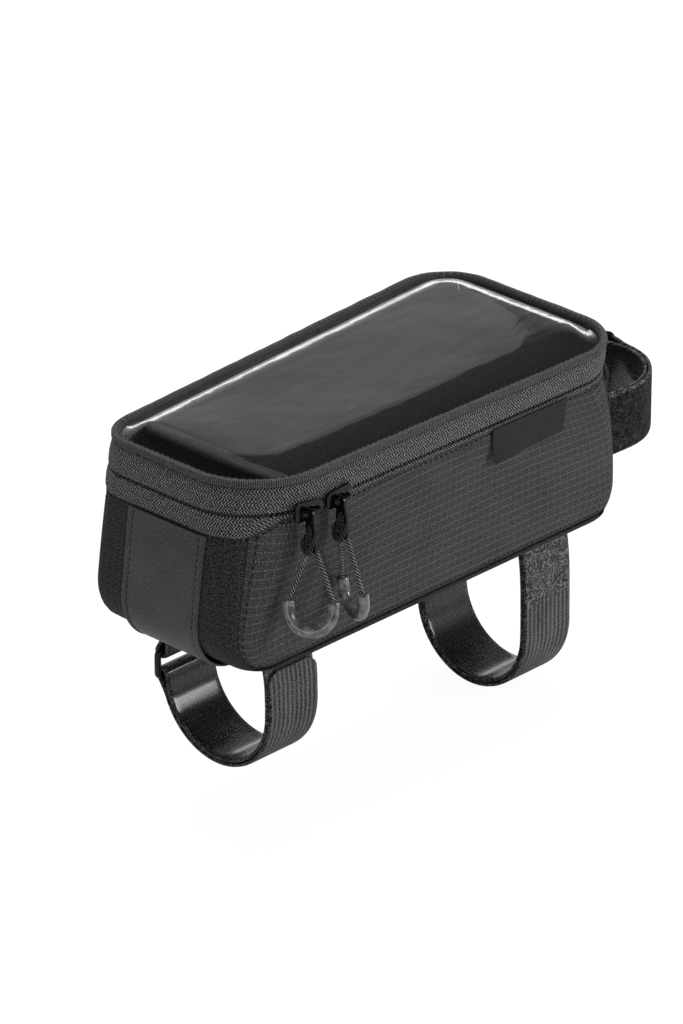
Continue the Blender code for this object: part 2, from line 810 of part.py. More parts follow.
def make_ring(name, drop, ring_way, place):
    """A rectangular wire ring with rounded corners, two bars across the strap."""
    route = StrapWay(drop)
    wrap = RING_WIRE + WRAP_PLAY + STRAP / 2
    upper = route.layer(ring_way, wrap)
    lower = route.layer(ring_way + RING_SPAN, wrap)
    reach = STRAP_WIDTH / 2 + RING_SIDE_PLAY + RING_WIRE
    length = (lower - upper).length
    path = []
    for share, width, turns in ((0.0, -reach, 180), (0.0, reach, 270), (1.0, reach, 0), (1.0, -reach, 90)):
        along_centre = RING_BEND if share == 0.0 else length - RING_BEND
        width_centre = width - math.copysign(RING_BEND, width)
        for step in range(3):
            angle = math.radians(turns + 45 * step)
            centre = upper.lerp(lower, (along_centre + RING_BEND * math.sin(angle)) / length)
            path.append(place(centre.x, centre.y, width_centre + RING_BEND * math.cos(angle)))
    return outward(swept(name, wire_rings(path, RING_WIRE, 8, True), True))


def make_straps():
    front_face = FLOOR_FRONT_X + FLOOR_ABOVE_BASE
    head_z = HEAD_STRAP_HEIGHT + FLOOR_ABOVE_BASE

    def under(centre_x):
        return lambda across, down, width: Vector((centre_x + width, across, -down))

    def ahead(across, down, width):
        return Vector((front_face + down, across, head_z + width))

    plans = (
        ("rear", REAR_STRAP_DROP, BOTTOM_RING_WAY, under(REAR_STRAP_X)),
        ("front", FRONT_STRAP_DROP, BOTTOM_RING_WAY, under(FRONT_STRAP_X)),
        ("head_tube", HEAD_STRAP_DROP, HEAD_RING_WAY, ahead),
    )
    for name, drop, ring_way, place in plans:
        make_strap(name + "_strap", strap_points(drop, ring_way), place)
        make_ring(name + "_strap_ring", drop, ring_way, place)


# Zip sliders and pulls


class Place:
    """A local frame on the zip line: along the zip, out of the bag, and up."""

    def __init__(self, station):
        ring = outline(ZIP_HEIGHT, 0.0)
        x, y = ring.point(station)
        self.origin = lifted(x, y, ZIP_HEIGHT)
        step = 0.002
        ahead = lifted(*ring.point(station + step), ZIP_HEIGHT)
        behind = lifted(*ring.point(station - step), ZIP_HEIGHT)
        self.along = (ahead - behind).normalized()
        self.out = Vector((self.along.y, -self.along.x, 0.0)).normalized()
        self.up = self.along.cross(-self.out).normalized()

    def point(self, along, out, up):
        return self.origin + self.along * along + self.out * out + self.up * up


def rounded_bar(half_length, half_width, head_half_width, cut):
    """Plan of a slider plate: wider at its head, corners cut."""
    return [(-half_length, -half_width + cut), (-half_length + cut, -half_width),
            (half_length - cut, -head_half_width), (half_length, -head_half_width + cut),
            (half_length, head_half_width - cut), (half_length - cut, head_half_width),
            (-half_length + cut, half_width), (-half_length, half_width - cut)]


def make_slider(name, place, heading):
    """Front plate, neck through the slot, back plate and the bridge for the pull."""
    half = SLIDER_LENGTH / 2

    def flat(a, b, c):
        return place.point(a * heading, c, b)

    def side(a, c, b):
        return place.point(a * heading, c, b)

    plate_top = FRONT_PLATE_OFF + PLATE
    body = prism(name, rounded_bar(half, PLATE_HALF_WIDTH, PLATE_HEAD_HALF_WIDTH, PLATE_CUT),
                 FRONT_PLATE_OFF, plate_top, flat)
    neck = prism("neck", rounded_bar(NECK_HALF_LENGTH, NECK_HALF_WIDTH, NECK_HALF_WIDTH, NECK_HALF_WIDTH / 2),
                 -BACK_PLATE_OFF - PLATE / 2, FRONT_PLATE_OFF + PLATE / 2, flat)
    back = prism("back", rounded_bar(half - BAR_HALF, BACK_HALF_WIDTH, BACK_HEAD_HALF_WIDTH, PLATE_CUT / 1.5),
                 -BACK_PLATE_OFF - PLATE, -BACK_PLATE_OFF, flat)
    bar_top = BAR_OFF + BAR_HALF
    bar_low = BAR_OFF - BAR_HALF
    sunk = plate_top - PLATE / 2
    foot, clear, cut = BRIDGE_HALF_LENGTH, BRIDGE_HALF_CLEAR, BAR_HALF
    arch = [(-foot, sunk), (-foot, bar_low), (-foot + 2 * cut, bar_top), (foot - 2 * cut, bar_top),
            (foot, bar_low), (foot, sunk), (clear, sunk), (clear, bar_low - cut), (clear - cut, bar_low),
            (cut - clear, bar_low), (-clear, bar_low - cut), (-clear, sunk)]
    bridge = prism("bridge", arch, -BRIDGE_HALF_WIDTH, BRIDGE_HALF_WIDTH, side)
    return combine(body, [neck, back, bridge], "UNION")


def turned(first, second, degrees):
    """Two square directions turned together by this angle."""
    angle = math.radians(degrees)
    return (first * math.cos(angle) + second * math.sin(angle),
            second * math.cos(angle) - first * math.sin(angle))


class Hang:
    """The frame of a pull that hangs from a slider's bar. The tab leans off the bag, and its
    loop leans further, swings along the bag, turns out of its side and rolls in its plane."""

    def __init__(self, place, lean, loop_lean, swing, turn, roll):
        self.origin = place.point(TAB_SHIFT, BAR_OFF, 0.0)
        self.along = Vector((place.along.x, place.along.y, 0.0)).normalized()
        plumb = Vector((0.0, 0.0, -1.0))
        self.down, self.out = turned(plumb, place.out, lean)
        self.pivot = self.point(0.0, 0.0, TAB_LENGTH - TAB_END / 2 - 0.0002)
        lower, self.loop_out = turned(plumb, place.out, loop_lean)
        self.loop_down, self.loop_along = turned(lower, self.along, swing)
        self.spread, _ = turned(self.loop_along, self.loop_out, turn)
        self.tube_spread, self.tube_down = turned(self.spread, self.loop_down, roll)

    def point(self, along, out, down):
        return self.origin + self.along * along + self.out * out + self.down * down


def make_tab(name, hang):
    """Flat pull tab: an eye on the slider's bar and a slot for the cord."""
    half = TAB_WIDTH / 2
    outline_points = []
    for step in range(9):
        angle = math.radians(180 + 22.5 * step)
        outline_points.append((TAB_EYE * math.cos(angle), TAB_EYE * math.sin(angle)))
    outline_points += [(half, TAB_SHOULDER), (half, TAB_LENGTH - TAB_CORNER), (half - TAB_CORNER, TAB_LENGTH)]
    outline_points += [(-across, down) for across, down in reversed(outline_points[-3:])]

    def place(a, b, c):
        return hang.point(c, a, b)

    thick = TAB_THICKNESS / 2
    tab = prism(name, outline_points, -thick, thick, place)
    reach = 2 * TAB_THICKNESS
    hole = prism("eye_hole", circle(0.0, 0.0, TAB_EYE_HOLE, 12), -reach, reach, place)
    slot_radius = TAB_SLOT / 2
    low, high = TAB_SHOULDER, TAB_LENGTH - TAB_END - slot_radius
    slot_points = []
    for centre, start in ((low, 180), (high, 0)):
        for step in range(7):
            angle = math.radians(start + 30 * step)
            slot_points.append((slot_radius * math.cos(angle), centre + slot_radius * math.sin(angle)))
    slot = prism("slot_hole", slot_points, -reach, reach, place)
    return combine(tab, [hole, slot], "DIFFERENCE")


def pull_path(hang):
    """Closed centre line of the cord, and the stretch of it that the tube covers."""
    bend = TAB_THICKNESS / 2 + CORD_RADIUS + GAP
    wide = PULL_HALF_SPREAD
    top = hang.pivot + hang.loop_down * (TUBE_TOP_BELOW_BAR - TAB_LENGTH)
    over = []
    for step in range(-2, 3):
        angle = math.radians(45 * step)
        over.append(hang.pivot + hang.loop_along * (bend * math.sin(angle))
                    - hang.loop_down * (bend * math.cos(angle)))
    ends = [top + hang.tube_spread * wide, top - hang.tube_spread * wide]
    leg = [over[-1].lerp(ends[0], share) for share in (0.3, 0.65, 0.93)]
    back = [over[0].lerp(ends[1], share) for share in (0.93, 0.65, 0.3)]
    tube = [ends[0]]
    for step in range(9):
        angle = math.radians(180 * step / 8)
        across = hang.tube_spread * (wide * math.cos(angle))
        tube.append(top + across + hang.tube_down * (TUBE_STRAIGHT + wide * math.sin(angle)))
    tube.append(ends[1])
    return over + leg + tube + back, tube


def make_pull(side_name, hang):
    cord_points, tube_points = pull_path(hang)
    cord_path = smooth_path(cord_points, 2, True)
    swept("pull_cord_" + side_name, wire_rings(cord_path, CORD_RADIUS, 8, True), True)
    tube_path = smooth_path(tube_points, 2)
    outer = wire_rings(tube_path, TUBE_RADIUS, 10)
    bore = wire_rings(tube_path, TUBE_BORE, 10)
    rings = [bore[0]] + outer + [bore[-1]] + list(reversed(bore))[1:-1]
    swept("pull_tube_" + side_name, rings, True)


def hold_at(name, point):
    """Moves an object's origin to its joint's axis, leaving the shape where it is."""
    target = bpy.data.objects[name]
    target.data.transform(Matrix.Translation(-point))
    target.location = point


def make_pulls():
    """Two sliders head to head, each with its tab and its loop. Every origin is on a joint."""
    ring = outline(ZIP_HEIGHT, 0.0)
    start, end = ring.point(0.0)[0], ring.point(1.0)[0]
    right_place = Place((RIGHT_SLIDER_X - start) / (end - start))
    left_place = Place(2 * CORNERS - LEFT_SLIDER_TURN / math.degrees(ring.arcs[-1][4]))
    for side, place, heading, hang in (
        ("right", right_place, 1, Hang(right_place, *RIGHT_HANG)),
        ("left", left_place, -1, Hang(left_place, *LEFT_HANG)),
    ):
        make_slider("zip_slider_" + side, place, heading)
        make_tab("pull_tab_" + side, hang)
        make_pull(side, hang)
        hold_at("pull_tab_" + side, hang.origin)
        hold_at("pull_cord_" + side, hang.pivot)
        hold_at("pull_tube_" + side, hang.pivot)
    hold_at("zip_slider_right", right_place.origin)
    centre_x, centre_y = ring.arcs[-1][:2]
    hold_at("zip_slider_left", lifted(centre_x, centre_y, ZIP_HEIGHT))


LID_PIECES = ("upper_zip_tape", "upper_zip_coil", "lid_front_wall", "window_binding", "window_film",
              "pocket_panel", "pocket_mouth_binding")


def hang_lid():
    """Puts the lid's pieces under an empty on the line of the fold that they turn about."""
    hinge = bpy.data.objects.new("lid_hinge", None)
    hinge.location = lifted(outline(ZIP_HEIGHT, 0.0).point(CORNERS / 2 + 0.5)[0] + GAP, 0.0, ZIP_HEIGHT)
    bpy.context.scene.collection.objects.link(hinge)
    bpy.context.view_layer.update()
    for name in LID_PIECES:
        piece = bpy.data.objects[name]
        piece.parent = hinge
        piece.matrix_parent_inverse = hinge.matrix_world.inverted()


# Materials


FINISHES = {
    "ripstop_cloth": ((0.045, 0.046, 0.048), 0.80, 0.0),
    "twill_cloth": ((0.035, 0.036, 0.039), 0.85, 0.0),
    "lining_cloth": ((0.060, 0.062, 0.065), 0.90, 0.0),
    "floor_board": ((0.030, 0.030, 0.032), 0.55, 0.0),
    "coated_base": ((0.047, 0.048, 0.052), 0.62, 0.0),
    "zip_tape": ((0.075, 0.076, 0.080), 0.88, 0.0),
    "zip_coil": ((0.012, 0.012, 0.013), 0.45, 0.0),
    "label_cloth": ((0.022, 0.023, 0.025), 0.75, 0.0),
    "strap_cloth": ((0.014, 0.014, 0.015), 0.60, 0.0),
    "ring_metal": ((0.010, 0.010, 0.011), 0.30, 1.0),
    "binding_cloth": ((0.018, 0.018, 0.019), 0.70, 0.0),
    "clear_film": ((0.80, 0.82, 0.84), 0.08, 0.0),
    "pocket_cloth": ((0.020, 0.020, 0.022), 0.85, 0.0),
    "slider_metal": ((0.012, 0.012, 0.013), 0.25, 1.0),
    "pull_cord": ((0.020, 0.020, 0.021), 0.80, 0.0),
    "pull_tube": ((0.130, 0.140, 0.150), 0.35, 0.0),
}


def make_material(name, finish):
    colour, roughness, metal = FINISHES[finish]
    material = bpy.data.materials.new(name + "_" + finish)
    material.use_nodes = True
    shader = material.node_tree.nodes["Principled BSDF"]
    shader.inputs["Base Color"].default_value = (*colour, 1.0)
    shader.inputs["Roughness"].default_value = roughness
    shader.inputs["Metallic"].default_value = metal
    if finish == "clear_film":
        shader.inputs["Transmission Weight"].default_value = 0.9
        shader.inputs["Alpha"].default_value = 0.35
    return material


NODE_FINISH = {
    "side_panel_near": "ripstop_cloth",
    "side_panel_far": "ripstop_cloth",
    "gusset": "twill_cloth",
    "padded_lining": "lining_cloth",
    "floor_board": "floor_board",
    "base_strip": "coated_base",
    "lower_zip_tape": "zip_tape",
    "lower_zip_coil": "zip_coil",
    "upper_zip_tape": "zip_tape",
    "upper_zip_coil": "zip_coil",
    "zip_end_tab_near": "twill_cloth",
    "zip_end_tab_far": "twill_cloth",
    "side_label": "label_cloth",
    "hinge_tape": "binding_cloth",
    "rear_strap": "strap_cloth",
    "front_strap": "strap_cloth",
    "head_tube_strap": "strap_cloth",
    "rear_strap_ring": "ring_metal",
    "front_strap_ring": "ring_metal",
    "head_tube_strap_ring": "ring_metal",
    "lid_front_wall": "twill_cloth",
    "window_binding": "binding_cloth",
    "window_film": "clear_film",
    "pocket_panel": "pocket_cloth",
    "pocket_mouth_binding": "binding_cloth",
    "zip_slider_left": "slider_metal",
    "zip_slider_right": "slider_metal",
    "pull_tab_left": "slider_metal",
    "pull_tab_right": "slider_metal",
    "pull_cord_left": "pull_cord",
    "pull_cord_right": "pull_cord",
    "pull_tube_left": "pull_tube",
    "pull_tube_right": "pull_tube",
}


def main():
    clear_scene()
    make_side_panel("side_panel_near", NEAR_SPAN)
    make_side_panel("side_panel_far", FAR_SPAN)
    make_gusset()
    make_lining()
    make_board()
    make_base_strip()
    make_zip()
    make_end_tab("zip_end_tab_near", ZIP_END - 0.07, ZIP_END + 0.09)
    make_end_tab("zip_end_tab_far", 5 - ZIP_END - 0.09, 5 - ZIP_END + 0.07)
    make_label()
    make_hinge_tape()
    make_straps()
    make_lid_front_wall()
    make_binding()
    make_film()
    make_mouth_binding(make_pocket_panel())
    make_pulls()
    for name, finish in NODE_FINISH.items():
        made = bpy.data.objects[name]
        outward(made)
        made.data.materials.clear()
        made.data.materials.append(make_material(name, finish))
    hang_lid()


main()
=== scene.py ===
# %% [markdown]
# # A top tube bag with a window in its lid
# This lesson dresses a plain model of a bicycle bag. The bag is a soft box of ripstop cloth
# with a zip round three sides, a clear window in its lid, three hook-and-loop straps and two
# cord pulls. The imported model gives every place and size, so each piece is made in its frame.

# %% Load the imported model
import json
import math

import bmesh
import bpy
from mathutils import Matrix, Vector, noise

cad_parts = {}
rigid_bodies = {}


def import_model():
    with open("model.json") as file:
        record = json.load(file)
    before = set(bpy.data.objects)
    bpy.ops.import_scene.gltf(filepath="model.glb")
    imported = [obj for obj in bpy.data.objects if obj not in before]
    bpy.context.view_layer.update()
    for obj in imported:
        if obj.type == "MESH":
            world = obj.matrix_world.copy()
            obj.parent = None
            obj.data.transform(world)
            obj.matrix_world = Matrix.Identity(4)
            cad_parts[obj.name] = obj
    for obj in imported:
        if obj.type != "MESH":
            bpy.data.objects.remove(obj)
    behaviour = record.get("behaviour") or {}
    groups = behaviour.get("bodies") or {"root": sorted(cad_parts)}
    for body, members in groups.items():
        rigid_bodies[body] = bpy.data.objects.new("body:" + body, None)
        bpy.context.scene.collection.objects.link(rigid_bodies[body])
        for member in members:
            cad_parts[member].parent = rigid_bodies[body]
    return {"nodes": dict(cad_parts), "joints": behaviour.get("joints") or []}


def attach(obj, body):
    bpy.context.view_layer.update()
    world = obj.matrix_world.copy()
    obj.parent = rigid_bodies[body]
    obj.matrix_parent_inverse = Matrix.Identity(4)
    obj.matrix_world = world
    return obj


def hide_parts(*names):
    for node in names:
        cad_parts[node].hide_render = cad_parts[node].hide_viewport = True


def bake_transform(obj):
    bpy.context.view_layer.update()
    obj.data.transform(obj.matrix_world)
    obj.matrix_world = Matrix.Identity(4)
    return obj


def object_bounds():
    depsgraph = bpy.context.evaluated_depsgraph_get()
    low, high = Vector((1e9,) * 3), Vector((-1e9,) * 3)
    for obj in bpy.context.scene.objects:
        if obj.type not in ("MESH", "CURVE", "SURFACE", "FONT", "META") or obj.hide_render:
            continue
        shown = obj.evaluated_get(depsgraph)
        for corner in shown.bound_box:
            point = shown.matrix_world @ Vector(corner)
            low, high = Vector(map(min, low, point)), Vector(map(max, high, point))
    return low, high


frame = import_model()
cad_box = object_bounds()

# %% [markdown]
# ## Camera, floor and light
# The bag is seen from behind and to the right of the rider's line, about 26 degrees above
# the horizon. A long lens from 2.5 m keeps its long edges almost parallel. The target is the
# point that lies in the middle of the picture, so the lens needs no shift.

# %% Camera
AZIMUTH = math.radians(-46.2)
ELEVATION = math.radians(25.9)
DISTANCE = 2.5
LENS = 234.7
MIDDLE_ACROSS = -0.00371
MIDDLE_UP = 0.02127

towards_camera = Vector((math.sin(AZIMUTH) * math.cos(ELEVATION),
                         -math.cos(AZIMUTH) * math.cos(ELEVATION), math.sin(ELEVATION)))
picture_right = Vector((math.cos(AZIMUTH), math.sin(AZIMUTH), 0.0))
picture_up = towards_camera.cross(picture_right)
target = Vector((0.0, 0.0, 0.0031)) + picture_right * MIDDLE_ACROSS + picture_up * MIDDLE_UP

camera_data = bpy.data.cameras.new("camera")
camera_data.lens = LENS
camera_data.sensor_width = 36.0
camera_data.clip_start = 0.1
camera = bpy.data.objects.new("camera", camera_data)
camera.location = target + towards_camera * DISTANCE
camera.rotation_euler = towards_camera.to_track_quat("Z", "Y").to_euler()
bpy.context.scene.collection.objects.link(camera)
bpy.context.scene.camera = camera
bpy.context.scene.view_settings.view_transform = "Standard"
print("camera looks at", [round(value, 4) for value in target])

# %% [markdown]
# A black bag shows its shape by what it mirrors, so the light is a few wide, soft panels.
# The world is white to the camera. To shiny things it is pale at the horizon and dark above,
# and to cloth it is weak, so the page stays white without bleaching the fabric.

# %% Light
WORLD_ON_CLOTH = 0.24
WORLD_MIRRORED = (0.52, 0.05)
PALE_BELOW, DARK_ABOVE = 0.24, 0.50

world = bpy.data.worlds.new("studio")
bpy.context.scene.world = world
world.use_nodes = True
tree = world.node_tree


def world_math(operation, first, second):
    node = tree.nodes.new("ShaderNodeMath")
    node.operation = operation
    for source, socket in ((first, node.inputs[0]), (second, node.inputs[1])):
        if isinstance(source, float):
            socket.default_value = source
        else:
            tree.links.new(source, socket)
    return node.outputs[0]


background = tree.nodes["Background"]
background.inputs["Color"].default_value = (1.0, 1.0, 1.0, 1.0)
rays = tree.nodes.new("ShaderNodeLightPath").outputs
split = tree.nodes.new("ShaderNodeSeparateXYZ")
tree.links.new(tree.nodes.new("ShaderNodeTexCoord").outputs["Generated"], split.inputs[0])
sky = tree.nodes.new("ShaderNodeMapRange")
sky.inputs["From Min"].default_value, sky.inputs["From Max"].default_value = PALE_BELOW, DARK_ABOVE
sky.inputs["To Min"].default_value, sky.inputs["To Max"].default_value = WORLD_MIRRORED
tree.links.new(split.outputs[2], sky.inputs["Value"])
shiny = world_math("MAXIMUM", rays["Is Glossy Ray"], rays["Is Transmission Ray"])
mirrored = world_math("MULTIPLY", shiny, sky.outputs["Result"])
plain = world_math("MULTIPLY", world_math("SUBTRACT", 1.0, shiny), WORLD_ON_CLOTH)
lit = world_math("ADD", mirrored, plain)
tree.links.new(world_math("MAXIMUM", rays["Is Camera Ray"], lit), background.inputs["Strength"])


def add_panel(name, place, aim, width, height, watts):
    """A soft light panel that faces a point."""
    data = bpy.data.lights.new(name, "AREA")
    data.shape = "RECTANGLE"
    data.size = width
    data.size_y = height
    data.energy = watts
    light = bpy.data.objects.new(name, data)
    light.location = place
    light.rotation_euler = (Vector(place) - Vector(aim)).to_track_quat("Z", "Y").to_euler()
    bpy.context.scene.collection.objects.link(light)
    return light


BAG_MIDDLE = (0.0, 0.0, 0.04)
over = add_panel("light_over", (0.15, 0.25, 1.25), BAG_MIDDLE, 0.9, 0.7, 12.0)
over.visible_glossy = over.visible_transmission = False
add_panel("light_near_left", (-1.15, -0.55, 0.55), BAG_MIDDLE, 0.7, 0.9, 2.3)
add_panel("light_near_right", (0.75, -1.2, 0.5), BAG_MIDDLE, 0.42, 0.55, 8.9)
add_panel("light_far", (0.55, 1.15, 0.75), BAG_MIDDLE, 1.2, 0.6, 0.5)
add_panel("light_film_edge", (1.26, 1.21, 0.45), BAG_MIDDLE, 1.6, 0.22, 2.5)

# %% [markdown]
# The floor lies at the lowest point of the front strap. It is white to the camera and keeps
# the bag's soft shadow.

# %% Floor
FLOOR_Z = cad_box[0][2] - 0.0006
FLOOR_REACH = 6.0
GLOW, GLOW_SHARE = 1.12, 0.84


def plain_floor_material():
    material = bpy.data.materials.new("pale_floor")
    material.use_nodes = True
    nodes, links = material.node_tree.nodes, material.node_tree.links
    shader = nodes["Principled BSDF"]
    shader.inputs["Base Color"].default_value = (0.88, 0.88, 0.88, 1.0)
    shader.inputs["Roughness"].default_value = 0.9
    shader.inputs["Specular IOR Level"].default_value = 0.1
    glow = nodes.new("ShaderNodeEmission")
    glow.inputs["Strength"].default_value = GLOW
    rays = nodes.new("ShaderNodeLightPath")
    blend = nodes.new("ShaderNodeMixShader")
    most = nodes.new("ShaderNodeMath")
    most.operation = "MULTIPLY"
    most.inputs[1].default_value = GLOW_SHARE
    links.new(rays.outputs["Is Camera Ray"], most.inputs[0])
    links.new(most.outputs[0], blend.inputs["Fac"])
    links.new(shader.outputs[0], blend.inputs[1])
    links.new(glow.outputs[0], blend.inputs[2])
    links.new(blend.outputs[0], nodes["Material Output"].inputs["Surface"])
    return material


floor_mesh = bpy.data.meshes.new("floor")
floor_mesh.from_pydata([(x * FLOOR_REACH, y * FLOOR_REACH, FLOOR_Z)
                        for x, y in ((-1, -1), (1, -1), (1, 1), (-1, 1))], [], [(0, 1, 2, 3)])
floor_mesh.materials.append(plain_floor_material())
floor = bpy.data.objects.new("floor", floor_mesh)
bpy.context.scene.collection.objects.link(floor)
print("floor at", round(FLOOR_Z, 4))

# %% [markdown]
# ## Material tools
# Cloth is a pattern of threads a fraction of a millimetre wide. Each piece of cloth carries a
# map called flat that gives every point its place on the flat cut, in metres, so a pattern
# keeps its real scale wherever the cloth bends. The class below keeps the node code short.

# %% A short way to build a material
MAP_NAME = "flat"


class Finish:
    """A material being built: each call adds nodes and returns the socket that leaves them."""

    def __init__(self, name, colour, roughness, **shader_values):
        self.material = bpy.data.materials.new(name)
        self.material.use_nodes = True
        self.nodes = self.material.node_tree.nodes
        self.links = self.material.node_tree.links
        self.shader = self.nodes["Principled BSDF"]
        self.shader.inputs["Base Color"].default_value = (*colour, 1.0)
        self.shader.inputs["Roughness"].default_value = roughness
        for key, value in shader_values.items():
            self.shader.inputs[key.replace("_", " ")].default_value = value

    def wire(self, source, socket):
        if isinstance(source, (int, float)):
            socket.default_value = source
        else:
            self.links.new(source, socket)

    def math(self, operation, first, second=0.0, third=0.0):
        node = self.nodes.new("ShaderNodeMath")
        node.operation = operation
        for source, socket in zip((first, second, third), node.inputs):
            self.wire(source, socket)
        return node.outputs[0]

    def flat(self):
        """The two directions of the cut, in metres."""
        source = self.nodes.new("ShaderNodeUVMap")
        source.uv_map = MAP_NAME
        split = self.nodes.new("ShaderNodeSeparateXYZ")
        self.links.new(source.outputs[0], split.inputs[0])
        return source.outputs[0], split.outputs[0], split.outputs[1]

    def place(self):
        source = self.nodes.new("ShaderNodeTexCoord")
        return source.outputs["Object"]

    def noise(self, vector, size, detail=2.0, stretch=None):
        """Noise whose spots are about this size in metres."""
        if stretch:
            mapping = self.nodes.new("ShaderNodeMapping")
            mapping.inputs["Scale"].default_value = stretch
            self.links.new(vector, mapping.inputs["Vector"])
            vector = mapping.outputs[0]
        node = self.nodes.new("ShaderNodeTexNoise")
        node.inputs["Scale"].default_value = 1.0 / size
        node.inputs["Detail"].default_value = detail
        self.links.new(vector, node.inputs["Vector"])
        return node.outputs[0]

    def wave(self, value, period):
        """A rounded wave between 0 and 1."""
        turned = self.math("MULTIPLY", value, 2 * math.pi / period)
        return self.math("MULTIPLY_ADD", self.math("SINE", turned), 0.5, 0.5)

    def line(self, value, period, width, soft=0.4):
        """1 on lines of this width, one for each period."""
        away = self.math("PINGPONG", value, period / 2)
        node = self.nodes.new("ShaderNodeMapRange")
        node.interpolation_type = "SMOOTHSTEP"
        node.inputs["From Min"].default_value = width / 2 * (1 + soft)
        node.inputs["From Max"].default_value = width / 2 * (1 - soft)
        self.wire(away, node.inputs["Value"])
        return node.outputs["Result"]

    def spread(self, value, low, high):
        """The value's middle range stretched to run from low to high."""
        node = self.nodes.new("ShaderNodeMapRange")
        node.inputs["From Min"].default_value = 0.3
        node.inputs["From Max"].default_value = 0.7
        node.inputs["To Min"].default_value = low
        node.inputs["To Max"].default_value = high
        self.wire(value, node.inputs["Value"])
        return node.outputs["Result"]

    def colours(self, share, dark, light):
        node = self.nodes.new("ShaderNodeMix")
        node.data_type = "RGBA"
        node.inputs[6].default_value = (*dark, 1.0)
        node.inputs[7].default_value = (*light, 1.0)
        self.wire(share, node.inputs[0])
        self.links.new(node.outputs[2], self.shader.inputs["Base Color"])
        return node.outputs[2]

    def roughness(self, value):
        self.links.new(value, self.shader.inputs["Roughness"])

    def bump(self, height, depth, strength=1.0):
        node = self.nodes.new("ShaderNodeBump")
        node.inputs["Distance"].default_value = depth
        node.inputs["Strength"].default_value = strength
        self.links.new(height, node.inputs["Height"])
        self.links.new(node.outputs[0], self.shader.inputs["Normal"])
        return self.material


def grey(value, cool=0.0):
    return (value * (1 - cool), value, value * (1 + cool))


# %% [markdown]
# ### Ripstop
# Ripstop is a plain weave with a thicker thread every few millimetres both ways, which shows
# as small squares. The thicker threads pass over and under, so each line is a row of dots.
# The lines across the bag's length are painted lighter than the upright ones, a painted highlight for the
# light that they catch.

# %% Ripstop cloth
RIPSTOP = 0.0034
THREAD = 0.0006


def ripstop(name, dark, light):
    finish = Finish(name, grey(dark), 0.78, Sheen_Weight=0.03, Specular_IOR_Level=0.06)
    vector, along, up = finish.flat()
    level = finish.line(up, RIPSTOP, 0.00042)
    upright = finish.line(along, RIPSTOP, 0.0005)
    # painted highlight: the level lines reach full tone, the upright ones only about a third
    dotted = finish.math("MULTIPLY", level, finish.spread(finish.wave(along, 0.0012), -0.1, 1.0))
    dotted_up = finish.math("MULTIPLY", upright, finish.spread(finish.wave(up, 0.00115), 0.0, 0.32))
    squares = finish.math("MAXIMUM", dotted, dotted_up)
    grain = finish.noise(vector, THREAD, 1.0)
    patches = finish.noise(vector, 0.020, 2.0)
    cloth = finish.math("ADD", finish.spread(patches, 0.09, 0.15), finish.spread(grain, -0.10, 0.32))
    tone = finish.math("ADD", cloth, finish.math("MULTIPLY", squares, 0.62))
    finish.colours(tone, grey(dark), grey(light))
    return finish.bump(finish.math("ADD", finish.math("MULTIPLY", grain, 0.5), squares), 0.00014)


side_cloth = ripstop("ripstop_cloth", 0.010, 0.205)
print("made", side_cloth.name)

# %% [markdown]
# ### Twill, tape and binding
# The gusset is a twill: its threads step sideways, so fine slanted lines run across it. The
# zip's tape is a herringbone, the same slanted lines turned back every millimetre, woven from
# light and dark yarn. The binding is a ribbed tape that is folded over the raw edges.

# %% Twill, tape and binding
HERRINGBONE = 0.00125


def twill(name, dark, light, step=0.0009):
    finish = Finish(name, grey(dark), 0.85, Sheen_Weight=0.03, Specular_IOR_Level=0.06)
    vector, along, up = finish.flat()
    slant = finish.line(finish.math("ADD", along, up), step, step * 0.5, 0.9)
    fine = finish.line(up, RIPSTOP, 0.0005)
    fine_up = finish.line(along, RIPSTOP, 0.0005)
    grain = finish.noise(vector, THREAD, 1.0)
    tone = finish.math("ADD", finish.math("MULTIPLY", slant, 0.14), finish.spread(grain, -0.14, 0.54))
    squares = finish.math("MULTIPLY", finish.math("MAXIMUM", fine, fine_up), 0.10)
    finish.colours(finish.math("ADD", tone, squares), grey(dark), grey(light))
    return finish.bump(finish.math("ADD", slant, squares), 0.00012)


def herringbone(name, dark, light):
    finish = Finish(name, grey(dark), 0.8, Sheen_Weight=0.03, Specular_IOR_Level=0.08)
    vector, along, up = finish.flat()
    turned = finish.math("PINGPONG", up, HERRINGBONE)
    across = finish.math("ADD", along, finish.math("MULTIPLY", turned, 1.1))
    slant = finish.line(across, HERRINGBONE, 0.00055, 0.6)
    fine = finish.spread(finish.noise(vector, 0.0007, 1.0), 0.15, 1.0)
    finish.colours(finish.math("MULTIPLY", slant, fine), grey(dark), grey(light))
    return finish.bump(slant, 0.00022)


def ribbed(name, dark, light, rib=0.0008):
    finish = Finish(name, grey(dark), 0.72, Sheen_Weight=0.03, Specular_IOR_Level=0.12)
    vector, along, up = finish.flat()
    ribs = finish.wave(along, rib)
    grain = finish.noise(vector, 0.0006, 1.0)
    tone = finish.math("MULTIPLY", ribs, finish.spread(grain, 0.1, 0.9))
    finish.colours(tone, grey(dark), grey(light))
    return finish.bump(ribs, 0.00018)


end_cloth = twill("twill_cloth", 0.005, 0.105)
tape_cloth = herringbone("zip_tape", 0.006, 0.42)
edge_tape = ribbed("binding_cloth", 0.014, 0.230)
print("made", end_cloth.name, tape_cloth.name, edge_tape.name)

# %% [markdown]
# ### Coated strip, straps and lining
# The base strip is cloth under a smooth coat, so it has almost no weave and a soft sheen.
# A strap is woven band: fine ribs run along it, its edges are fluffy where loops were cut,
# and its inner face has a slight gloss. The lining is a brushed knit over thin foam.

# %% Coated strip, straps and lining
STRAP_WIDTH = 0.025
RIB = 0.0023


